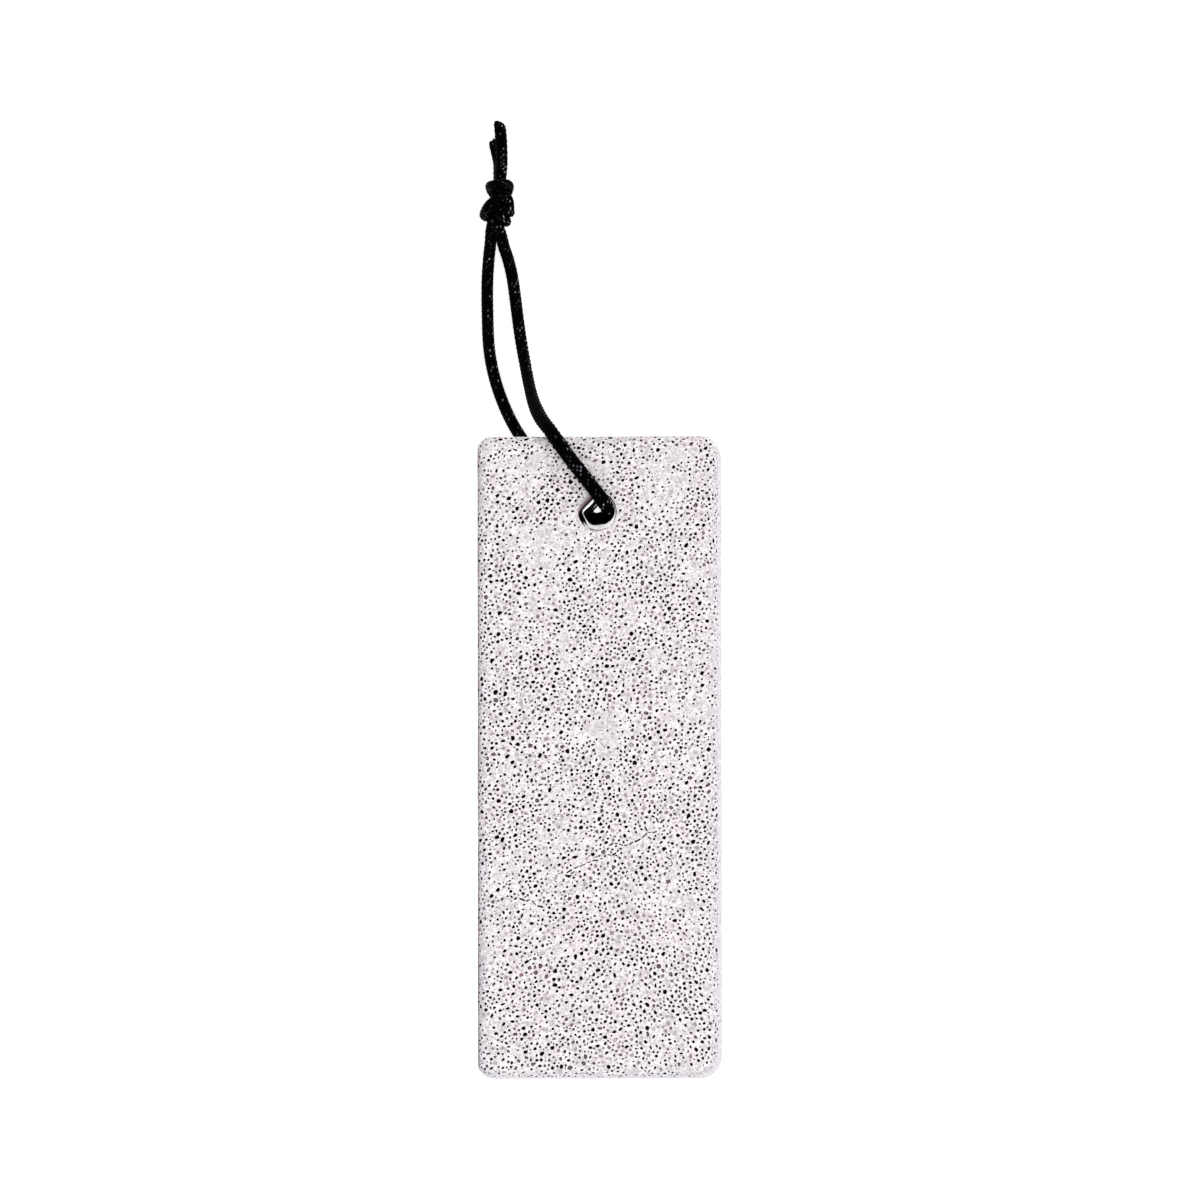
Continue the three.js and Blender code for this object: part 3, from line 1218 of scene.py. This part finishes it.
def pore_rim(rng, radius, stretch, angle, count):
    """An uneven oval of a few points about a pore's middle."""
    cos, sin = math.cos(angle), math.sin(angle)
    long_axis = radius * math.sqrt(stretch)
    short_axis = radius / math.sqrt(stretch)
    first = rng.uniform(0, TAU)
    rim = []
    for k in range(count):
        turn = first + TAU * (k + rng.uniform(-0.22, 0.22)) / count
        reach = rng.uniform(0.74, 1.26)
        u = math.cos(turn) * long_axis * reach
        v = math.sin(turn) * short_axis * reach
        rim.append((u * cos - v * sin, u * sin + v * cos))
    return rim


def pore_depth(rng, kind, radius):
    """How deep a pore is, and how much painted shade its floor and its wall get."""
    if kind == "open":
        return radius * rng.uniform(1.5, 2.1) + 0.12, 1.0, 1.0
    if kind == "ringed":
        return radius * 0.8, rng.uniform(0.25, 0.5), 1.0
    return radius * rng.uniform(0.25, 0.45), rng.uniform(0.05, 0.75), rng.uniform(0.1, 0.5)


class Pattern:
    """The flat pattern of one side of the block, with its pores, before it is bent into shape.

    Each point has where it lies flat, where it is moved to before bending, how far it is sunk,
    how much painted shade it gets, whether it is inside a pore, and its number in the block if it is
    shared."""

    def __init__(self, walls_above):
        self.walls_above = walls_above
        self.points = []
        self.moved = []
        self.depth = []
        self.dark = []
        self.inner = []
        self.edges = []
        self.shared = []

    def add(self, point, moved=None, depth=0.0, dark=0.0, inner=False, shared=-1):
        self.points.append(tuple(point))
        self.moved.append(tuple(point if moved is None else moved))
        self.depth.append(depth)
        self.dark.append(dark)
        self.inner.append(inner)
        self.shared.append(shared)
        return len(self.points) - 1

    def loop(self, numbers):
        self.edges += [(a, b) for a, b in zip(numbers, numbers[1:] + numbers[:1])]

    def rim_count(self, radius, shallow):
        """How many points a pore's rim has."""
        if shallow:
            return 6 if radius > 0.26 else 5
        if radius < self.walls_above - 0.07:
            return 5
        return 6 if radius < self.walls_above + 0.08 else 8

    def pore(self, rng, x, y, radius, stretch, angle, kind):
        """One pore: its rim, a wall ring beneath it if it is large, and its floor."""
        shallow = kind == "worn"
        rim = pore_rim(rng, radius, stretch, angle, self.rim_count(radius, shallow))
        dark = rng.uniform(0.05, 0.35) if shallow else rng.uniform(0.86, 1.0)
        self.loop([self.add((x + u, y + v), depth=rng.uniform(0, 0.015), dark=dark) for u, v in rim])
        depth, floor_dark, wall_dark = pore_depth(rng, kind, radius)
        if radius > self.walls_above:
            spread, sunk = (0.8, 0.9) if shallow else (1.06, 0.75)
            for u, v in rim:
                flat = (x + u * 0.66, y + v * 0.66)
                moved = (x + u * spread, y + v * spread)
                self.add(flat, moved, depth * sunk, wall_dark, True)
        shift = radius * rng.uniform(-0.15, 0.15)
        rise = 0.55 if kind == "ringed" else 1.0
        self.add((x + shift, y - shift), None, depth * rise, floor_dark, True)

    def slot(self, rng, start, end):
        """One short stretch of a crack: a narrow slot, deepest along its middle."""
        along = end - start
        half = CRACK_HALF_WIDTH + rng.uniform(-0.035, 0.03)
        side = np.array([-along[1], along[0]]) / np.linalg.norm(along) * half
        shift = side * rng.uniform(-0.5, 0.5)
        near, far = start + along * 0.2 + shift, start + along * 0.8 - shift
        tips = start + along * 0.02, end - along * 0.02
        rim = [tips[0], near - side, far - side, tips[1], far + side, near + side]
        self.loop([self.add(point, dark=1.0) for point in rim])
        for point in (near, far):
            self.add(point, None, CRACK_DEPTH, 1.0, True)

    def triangles(self):
        """Cuts the pattern into triangles. Each keeps its corners' numbers in the pattern."""
        flat = [Vector(p) for p in self.points]
        _, _, cut, sources, *_ = delaunay_2d_cdt(flat, self.edges, [], 1, 1e-6, True)
        numbers = [ids[0] if ids else -1 for ids in sources]
        faces = []
        for face in cut:
            corners = tuple(numbers[i] for i in face)
            if -1 not in corners:
                faces.append(corners)
        return faces


def pores_wanted(rng, settings, area):
    """The radius and kind of every pore that an area should have, the largest first."""
    median = settings.pore_radius / MM
    wanted = []
    for kind, share in (("open", settings.open_pores), ("worn", settings.worn_pores)):
        for _ in range(int(area * share)):
            scale = WORN_PORE_SCALE if kind == "worn" else 1.0
            radius = median * math.exp(rng.gauss(0, PORE_SPREAD)) * scale
            radius = min(max(radius, PORE_SMALLEST), PORE_LARGEST)
            ringed = kind == "open" and radius > RINGED_ABOVE and rng.random() < RINGED_CHANCE
            wanted.append((radius, "ringed" if ringed else kind))
    wanted.sort(key=lambda pore: -pore[0])
    return wanted


def fill_pores(rng, pattern, scatter, wanted, pick_point, allowed, density_at, lean_at):
    """Finds a clear and fitting place for each pore, and leaves out those that find none."""
    for radius, kind in wanted:
        for _ in range(PORE_TRIES):
            x, y = pick_point()
            if rng.random() > density_at(x, y, radius):
                continue
            stretch = 1.0 + abs(rng.gauss(0, 0.35))
            if rng.random() < 0.1 and radius < 0.26:
                stretch += rng.uniform(0.6, 1.6)
            reach = radius * math.sqrt(stretch) * 1.12
            if not allowed(x, y, reach) or not scatter.clear(x, y, reach, PORE_GAP):
                continue
            scatter.add(x, y, reach)
            angle = lean_at(x, y) + rng.gauss(0, 0.5)
            pattern.pore(rng, x, y, radius, stretch, angle, kind)
            break


def add_cracks(rng, pattern, scatter):
    """Lays narrow slots end to end along each crack."""
    for crack in CRACKS:
        for start, end in zip(crack, crack[1:]):
            start, end = np.array(start), np.array(end)
            count = max(1, round(float(np.linalg.norm(end - start)) / CRACK_STRETCH))
            for step in range(count):
                a = start + (end - start) * (step + rng.uniform(0.0, 0.06)) / count
                b = start + (end - start) * (step + rng.uniform(0.94, 1.0)) / count
                reach = float(np.linalg.norm(b - a)) / 4
                for share in (0.2, 0.5, 0.8):
                    x, y = a + (b - a) * share
                    scatter.add(x, y, reach)
                pattern.slot(rng, a, b)


def pore_lean(x, y):
    """Which way the longer pores of the front lean."""
    lean = math.radians(40) if x < 6 or y > -20 else math.radians(-50)
    return lean + 0.8 * noise.noise(Vector((x * 0.08, y * 0.08, 3.0)))


def any_lean(rng):
    """Lets the longer pores of the back and the sides lean any way."""
    return lambda x, y: rng.uniform(0, math.pi)


def front_density(x, y, radius):
    """The chance that a pore of this radius may be at a place on the front."""
    chance = 0.5 + 0.85 * noise.noise(Vector((x * 0.16, y * 0.16, 1.7)))
    chance += 0.9 * noise.noise(Vector((x * 0.5, y * 0.5, 6.1)))
    for px, py, reach in BARE_PATCHES:
        chance -= 0.7 * math.exp(-((x - px) ** 2 + (y - py) ** 2) / reach**2)
    for px, py, reach in COARSE_PATCHES:
        near = math.exp(-((x - px) ** 2 + (y - py) ** 2) / reach**2)
        chance += near * (0.5 if radius > 0.2 else -0.25)
    return min(max(chance, 0.04), 1.0)


def plain_density(x, y, radius):
    """The same for the back and the sides, where the radius makes no difference."""
    return min(max(0.65 + 0.6 * noise.noise(Vector((x * 0.2, y * 0.2, 9.3))), 0.05), 1.0)


def fill_gaps(rng, pattern, scatter, places, gap):
    """Adds points where the pattern has none, so that bare stretches bend smoothly too."""
    for x, y in places:
        px, py = x + rng.uniform(-0.12, 0.12), y + rng.uniform(-0.12, 0.12)
        if scatter.clear(px, py, gap, 0.0):
            pattern.add((px, py))


def round_places(outline):
    """Rows of places on the rounded edge, for the points that bend it."""
    for row in range(ROUND_ROWS):
        line = outline.bases + outline.normals * (outline.wrap * row / ROUND_ROWS)
        yield from line[:: 2 if row == 0 else 1]


def flat_places(outline):
    """A grid of places on the flat part of the front or back, clear of the hole."""
    step = SAMPLE_GAP * 1.15
    for i in range(1, int(2 * outline.half_x / step)):
        for j in range(1, int(2 * outline.half_y / step)):
            x, y = -outline.half_x + i * step, -outline.half_y + j * step
            if from_hole(x, y) > HOLE_RADIUS + 0.3:
                yield x, y


def cap_pattern(rng, outline, settings, rim_numbers, hole_numbers, front):
    """The pattern of the front or the back, with the block's rounded edge laid out flat round it."""
    pattern = Pattern(FRONT_WALLS_ABOVE if front else PLAIN_WALLS_ABOVE)
    edge = outline.bases + outline.normals * outline.wrap
    pattern.loop([pattern.add(p, shared=n) for p, n in zip(edge, rim_numbers)])
    pattern.loop([pattern.add(p, shared=n) for p, n in zip(hole_circle(), hole_numbers)])
    half_x, half_y = outline.half_x + outline.wrap, outline.half_y + outline.wrap

    def pick_point():
        return rng.uniform(-half_x, half_x), rng.uniform(-half_y, half_y)

    def allowed(x, y, reach):
        if from_hole(x, y) < HOLE_RADIUS + reach + EDGE_GAP:
            return False
        distance = float(outline.nearest(np.array([[x, y]]))[0][0])
        if distance > outline.wrap - reach - EDGE_GAP:
            return False
        # The rounded edge is worn smooth, and most of all at the right and at the lower end.
        left_out = 0.75 if x > 0 or y < -outline.half_y else 0.25
        return distance < EDGE_PORES_REACH or rng.random() > left_out

    scatter = Scatter()
    if front:
        add_cracks(rng, pattern, scatter)
    area = 4 * half_x * half_y * (1.0 if front else BACK_PORE_SHARE)
    wanted = pores_wanted(rng, settings, area)
    density, lean = (front_density, pore_lean) if front else (plain_density, any_lean(rng))
    fill_pores(rng, pattern, scatter, wanted, pick_point, allowed, density, lean)
    fill_gaps(rng, pattern, scatter, round_places(outline), 0.16)
    fill_gaps(rng, pattern, scatter, flat_places(outline), 0.5 if front else 0.75)
    faces = []
    for face in pattern.triangles():
        middle = np.mean([pattern.points[i] for i in face], axis=0)
        if from_hole(*middle) > HOLE_RADIUS * 0.995:
            faces.append(face)
    return pattern, faces


def side_pattern(rng, outline, settings, low_numbers, high_numbers, seam_numbers):
    """The pattern of the four sides, as one band that closes on itself."""
    pattern = Pattern(PLAIN_WALLS_ABOVE)
    low, high = outline.round, BLOCK_THICKNESS - outline.round

    def add_row(level, numbers):
        closed = numbers + numbers[:1]
        return [pattern.add((x, level), shared=n) for x, n in zip(outline.along, closed)]

    bottom, top = add_row(low, low_numbers), add_row(high, high_numbers)
    levels = np.linspace(low, high, SEAM_ROWS)[1:-1]
    left = [pattern.add((0.0, z), shared=n) for z, n in zip(levels, seam_numbers)]
    right = [pattern.add((outline.length, z), shared=n) for z, n in zip(levels, seam_numbers)]
    pattern.loop(bottom + right + top[::-1] + left[::-1])

    def pick_point():
        return rng.uniform(0, outline.length), rng.uniform(low, high)

    def allowed(x, y, reach):
        inside = min(x, outline.length - x, y - low, high - y)
        return inside > reach + EDGE_GAP

    scatter = Scatter()
    wanted = pores_wanted(rng, settings, outline.length * (high - low) * SIDE_PORE_SHARE)
    fill_pores(rng, pattern, scatter, wanted, pick_point, allowed, plain_density, any_lean(rng))
    step = SAMPLE_GAP * 1.3
    columns, lines = int(outline.length / step), int((high - low) / step)
    grid = [(i * step, low + j * step) for i in range(1, columns) for j in range(1, lines)]
    fill_gaps(rng, pattern, scatter, grid, 0.6)
    return pattern, pattern.triangles()


def worn(places, normals):
    """Moves surface points inward a little, unevenly, as use and tumbling wear them."""
    moved = places.copy()
    for i, (place, normal) in enumerate(zip(places, normals)):
        at = Vector(place)
        broad = 0.5 + 0.5 * noise.noise(at * 0.11)
        edge = 1 - max(abs(normal))
        chips = max(0.0, noise.noise(at * 0.55 + Vector((5.0, 0.0, 0.0)))) * edge * 3.0
        fine = 0.5 + 0.5 * noise.noise(at * 1.9)
        inward = WEAR * broad + CHIPS * chips + BUMPS * fine
        moved[i] -= normal * inward
    return moved


def side_shade_share(place, outline):
    """How much of the sides' painted shade a point gets: 0 on the broad faces and 1 on the smooth
    sides, from a point's place in the block's frame.
    """
    height = min(place.z, BLOCK_THICKNESS - place.z)
    if from_hole(place.x, place.y) < HOLE_RADIUS + 0.4:
        return 0.0
    distance = float(outline.nearest(np.array([[place.x, place.y]]))[0][0])
    share = min(max((distance - 0.15) / (outline.round * 0.6), 0.0), 1.0) if height < 4 else 1.0
    return share * (0.2 if place.y > outline.half_y else 1.0)


def left_edge_shade(place, outline):
    """How much painted shade the block's left edge gets, just below its front, for the light coming
    from the right.
    """
    outer = -place.x - outline.half_x
    low = BLOCK_THICKNESS - place.z
    if outer < 0 or low > 1.7 * outline.round:
        return 0.0
    sideways = min(max(outer / outline.round - 0.7, 0.0) / 0.2, 1.0)
    return sideways * min(1.0, 3.4 - 2 * low / outline.round)


class BlockMesh:
    """Collects the block's points and faces from its patterns and its bored hole.

    Each corner of a face has how much painted shade it gets, and below 0 how near it is to a pore
    outside it.
    Edges in rims stay sharp."""

    def __init__(self):
        self.points = []
        self.faces = []
        self.dark = []
        self.rims = set()

    def reserve(self, places, normals):
        """Adds points that more than one pattern shares, and returns their numbers."""
        start = len(self.points)
        self.points += [tuple(p) for p in worn(np.asarray(places), np.asarray(normals))]
        return list(range(start, len(self.points)))

    def take(self, pattern, faces, surface, flip=False):
        """Adds a pattern's own points, bent into place, and its faces."""
        places, normals = surface(np.array(pattern.moved))
        places = worn(places, normals) - normals * np.array(pattern.depth)[:, None]
        numbers = []
        for i, shared in enumerate(pattern.shared):
            if shared >= 0:
                numbers.append(shared)
            else:
                numbers.append(len(self.points))
                self.points.append(tuple(places[i]))
        for face in faces:
            inside = any(pattern.inner[i] for i in face)
            order = face[::-1] if flip else face
            self.faces.append(tuple(numbers[i] for i in order))
            dark = [pattern.dark[i] for i in order]
            self.dark += dark if inside else [-min(value * 2, 1.0) for value in dark]
        for a, b in pattern.edges:
            if pattern.dark[a] > 0:
                self.rims.add(frozenset((numbers[a], numbers[b])))


def ledge_share(level):
    """How far the bored wall is narrowed to the ledge: 0 at the front and 1 below the ledge."""
    return min(1.0, (BLOCK_THICKNESS - level) / LEDGE_DEPTH)


def bore_ring(level):
    """One ring of points of the bored wall."""
    share = ledge_share(level)
    for k in range(HOLE_POINTS):
        angle = TAU * k / HOLE_POINTS
        x, y = math.cos(angle), math.sin(angle)
        rough = noise.noise(Vector((x * 3, y * 3, level * 0.8))) * 0.06
        reach = HOLE_RADIUS + 0.03 + rough
        reach -= (reach - liner_reach(angle, LEDGE_ROUND, LEDGE_FLAT)) * share * (2 - share)
        yield x * reach, hole_centre() + y * reach, float(level)


def bore_shades(level):
    """How much painted shade each point of one ring of the bored wall gets, standing in for the shadow
    in the bore: darkest deep down by the liner's flat.
    """
    share = ledge_share(level)
    shades = []
    for k in range(HOLE_POINTS):
        streak = 0.3 * noise.noise(Vector((k * 1.3, level * 0.3, 4.0))) * share
        towards_flat = 0.5 + 0.5 * math.cos(TAU * k / HOLE_POINTS - LINER_FLAT_TOWARDS)
        shade = 0.8 * share**0.6 * (0.3 + 0.7 * towards_flat) + streak
        shades.append(min(max(shade, 0.0), 0.85))
    return shades


def bore_hole(block, top, bottom):
    """The bored wall between the hole's front rim and back rim."""
    ledge = BLOCK_THICKNESS - LEDGE_DEPTH
    levels = [*np.linspace(0, ledge, BORE_ROWS + 1)]
    levels += [*np.linspace(ledge, BLOCK_THICKNESS, LEDGE_ROWS + 1)[1:]]
    rings = [bottom]
    for level in levels[1:-1]:
        start = len(block.points)
        block.points += bore_ring(level)
        rings.append(list(range(start, len(block.points))))
    rings.append(top)
    shades = [bore_shades(level) for level in levels]
    for row in range(len(rings) - 1):
        low, high = rings[row], rings[row + 1]
        for k in range(HOLE_POINTS):
            turn = (k + 1) % HOLE_POINTS
            block.faces.append((low[turn], low[k], high[k], high[turn]))
            block.dark += [shades[row][turn], shades[row][k], shades[row + 1][k], shades[row + 1][turn]]
    for rim in (top, bottom):
        block.rims.update(frozenset(pair) for pair in zip(rim, rim[1:] + rim[:1]))


def skin_colour(nodes, settings):
    """The worn surface: faintly clouded, with painted shade on the smooth sides, which get a darker,
    cooler colour, and painted shade along the left edge.
    """
    broad = nodes.noise(160.0, 3.0, 0.6)
    cloud = nodes.mix(nodes.range(broad, 0.35, 0.65), WARM_CLOUD, COOL_CLOUD)
    side = nodes.attribute("side")
    # Painted shade: the sides get a darker, cooler colour, for facing away from the light.
    skin = nodes.mix(side, tuple(settings.skin), tuple(settings.shaded_side_skin))
    # Painted shade along the left edge, made patchy, for the light coming from the right.
    patchy = nodes.range(broad, 0.32, 0.6, 0.4, 0.9)
    left_shade = nodes.math("MULTIPLY", nodes.attribute("left_shade"), patchy)
    skin = nodes.mix(left_shade, skin, LEFT_SHADE_COLOUR)
    return nodes.mix(1.0, skin, cloud, "MULTIPLY")


def add_fine_lines(nodes, colour):
    """Thin, broken lines between the pores too small to be cut out."""
    fine_line = nodes.math("ABSOLUTE", nodes.math("SUBTRACT", nodes.noise(1100.0, 3.0, 0.6), 0.5))
    lines = nodes.math("MULTIPLY", nodes.range(fine_line, 0.0, 0.03, 1.0, 0.0), LINE_STRENGTH)
    broken = nodes.range(nodes.noise(420.0, 2.0), 0.42, 0.6)
    return nodes.mix(nodes.math("MULTIPLY", lines, broken), colour, LINE_COLOUR)


def add_specks(nodes, colour):
    """Painted shade: dark specks for the pores too small to be cut out, standing in for the shade
    inside them.
    """
    shape = nodes.range(nodes.cells(1400.0), 0.13, 0.24, 1.0, 0.0)
    where = nodes.range(nodes.noise(700.0, 1.0), 0.4, 0.55)
    specks = nodes.math("MULTIPLY", shape, where)
    return nodes.mix(nodes.math("MULTIPLY", specks, SPECK_STRENGTH), colour, SPECK_COLOUR)


def darken_pores(nodes, colour, deepest):
    """Pale rims round the pores, and painted shade that deepens with how far down in a pore it is."""
    hollow_shade = nodes.attribute("hollow_shade")
    halo = nodes.range(hollow_shade, -1.0, 0.0, 1.1, 0.95)
    colour = nodes.mix(1.0, colour, nodes.grey(halo), "MULTIPLY")
    half = nodes.mix(nodes.range(hollow_shade, 0.0, 0.6), colour, HALF_SHADE_COLOUR)
    return nodes.mix(nodes.range(hollow_shade, 0.55, 1.0), half, deepest)


def stone_material(settings):
    nodes = Nodes("pumice")
    colour = skin_colour(nodes, settings)
    grain = nodes.noise(3600.0, 2.0, 0.6)
    coarse = nodes.noise(1500.0, 2.0, 0.6)
    both = nodes.math("ADD", nodes.math("MULTIPLY", grain, 0.6), nodes.math("MULTIPLY", coarse, 0.4))
    tone = nodes.range(both, 0.34, 0.66, 0.62, 1.25)
    colour = nodes.mix(1.0, colour, nodes.grey(tone), "MULTIPLY")
    colour = add_fine_lines(nodes, colour)
    colour = add_specks(nodes, colour)
    colour = darken_pores(nodes, colour, tuple(settings.hollow_shade))
    nodes.link(colour, nodes.shader.inputs["Base Color"])
    nodes.shader.inputs["Roughness"].default_value = 0.92
    nodes.shader.inputs["Specular IOR Level"].default_value = 0.2
    nodes.link(nodes.bump(both, 0.00006, 0.7), nodes.shader.inputs["Normal"])
    return nodes.material


def edge_rows(block, outline):
    """The points that the sides share with the back, with the front and with themselves."""
    edge = outline.bases + outline.normals * outline.round
    out = np.column_stack([outline.normals, np.zeros(len(edge))])
    low, high = outline.round, BLOCK_THICKNESS - outline.round
    high_numbers = block.reserve(np.column_stack([edge, np.full(len(edge), high)]), out)
    low_numbers = block.reserve(np.column_stack([edge, np.full(len(edge), low)]), out)
    seam = [(*edge[0], z) for z in np.linspace(low, high, SEAM_ROWS)[1:-1]]
    return low_numbers, high_numbers, block.reserve(seam, np.tile(out[0], (len(seam), 1)))


def hole_rims(block):
    """The points of the hole's front rim and of its back rim."""
    circle = hole_circle()
    facing_up = np.tile((0.0, 0.0, 1.0), (HOLE_POINTS, 1))
    top = np.column_stack([circle, np.full(HOLE_POINTS, BLOCK_THICKNESS)])
    bottom = np.column_stack([circle, np.zeros(HOLE_POINTS)])
    return block.reserve(top, facing_up), block.reserve(bottom, -facing_up)


def make_stone(settings):
    rng = random.Random(settings.seed)
    outline = Outline(settings)
    block = BlockMesh()
    low_numbers, high_numbers, seam_numbers = edge_rows(block, outline)
    top, bottom = hole_rims(block)
    pattern, faces = cap_pattern(rng, outline, settings, high_numbers, top, True)
    block.take(pattern, faces, lambda p: outline.cap_surface(p, True))
    pattern, faces = cap_pattern(rng, outline, settings, low_numbers, bottom, False)
    block.take(pattern, faces, lambda p: outline.cap_surface(p, False), flip=True)
    pattern, faces = side_pattern(rng, outline, settings, low_numbers, high_numbers, seam_numbers)
    block.take(pattern, faces, outline.side_surface)
    bore_hole(block, top, bottom)

    stone = new_mesh_object("pumice_stone", block_to_world(block.points), block.faces)
    places = [Vector(p) for p in block.points]
    set_attribute(stone, "hollow_shade", "CORNER", block.dark)
    set_attribute(stone, "side", "POINT", [side_shade_share(place, outline) for place in places])
    set_attribute(stone, "left_shade", "POINT", [left_edge_shade(place, outline) for place in places])
    sharp = [frozenset(edge.vertices) in block.rims for edge in stone.data.edges]
    set_attribute(stone, "sharp_edge", "EDGE", sharp, "BOOLEAN")
    stone.data.materials.append(stone_material(settings))
    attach(stone, "root")
    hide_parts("stone")


# ---------------------------------------------------------------------------------------
# Operators and panel
# ---------------------------------------------------------------------------------------


class PUMICE_OT_stage(bpy.types.Operator):
    """Make the camera, the soft light, the white room and the floor"""

    bl_idname = "pumice.stage"
    bl_label = "Make Stage"

    def execute(self, context):
        settings = context.scene.pumice_stage
        make_camera(settings)
        make_room(settings)
        make_key_light(settings)
        make_floor(settings)
        context.scene.view_settings.view_transform = "Standard"
        return {"FINISHED"}


class PUMICE_OT_cord(bpy.types.Operator):
    """Make the braided cord with its knot"""

    bl_idname = "pumice.cord"
    bl_label = "Make Cord"

    def execute(self, context):
        make_cord(context.scene.pumice_cord)
        return {"FINISHED"}


class PUMICE_OT_liner(bpy.types.Operator):
    """Make the thin metal liner in the hole"""

    bl_idname = "pumice.liner"
    bl_label = "Make Liner"

    def execute(self, context):
        make_liner(context.scene.pumice_liner)
        return {"FINISHED"}


class PUMICE_OT_stone(bpy.types.Operator):
    """Make the pumice block with its pores"""

    bl_idname = "pumice.stone"
    bl_label = "Make Stone"

    def execute(self, context):
        make_stone(context.scene.pumice_stone)
        return {"FINISHED"}


class PUMICE_PT_panel(bpy.types.Panel):
    """The makers of each piece, with their settings"""

    bl_label = "Pumice Foot Stone"
    bl_idname = "PUMICE_PT_panel"
    bl_space_type = "VIEW_3D"
    bl_region_type = "UI"
    bl_category = "Pumice"

    def draw(self, context):
        layout = self.layout
        for group, operator in PANEL_ROWS:
            settings = getattr(context.scene, group)
            box = layout.box()
            for key in settings.bl_rna.properties.keys():
                if key not in ("rna_type", "name"):
                    box.prop(settings, key)
            box.operator(operator)


PANEL_ROWS = (
    ("pumice_stage", "pumice.stage"),
    ("pumice_cord", "pumice.cord"),
    ("pumice_liner", "pumice.liner"),
    ("pumice_stone", "pumice.stone"),
)
SETTINGS = {
    "pumice_stage": StageSettings,
    "pumice_cord": CordSettings,
    "pumice_liner": LinerSettings,
    "pumice_stone": StoneSettings,
}
CLASSES = (
    *SETTINGS.values(),
    PUMICE_OT_stage,
    PUMICE_OT_cord,
    PUMICE_OT_liner,
    PUMICE_OT_stone,
    PUMICE_PT_panel,
)


def register():
    for cls in CLASSES:
        bpy.utils.register_class(cls)
    for name, group in SETTINGS.items():
        setattr(bpy.types.Scene, name, PointerProperty(type=group))


def unregister():
    for name in SETTINGS:
        delattr(bpy.types.Scene, name)
    for cls in reversed(CLASSES):
        bpy.utils.unregister_class(cls)


def main():
    register()
    bpy.ops.pumice.stage()
    bpy.ops.pumice.cord()
    bpy.ops.pumice.liner()
    bpy.ops.pumice.stone()


if __name__ == "__main__":
    main()
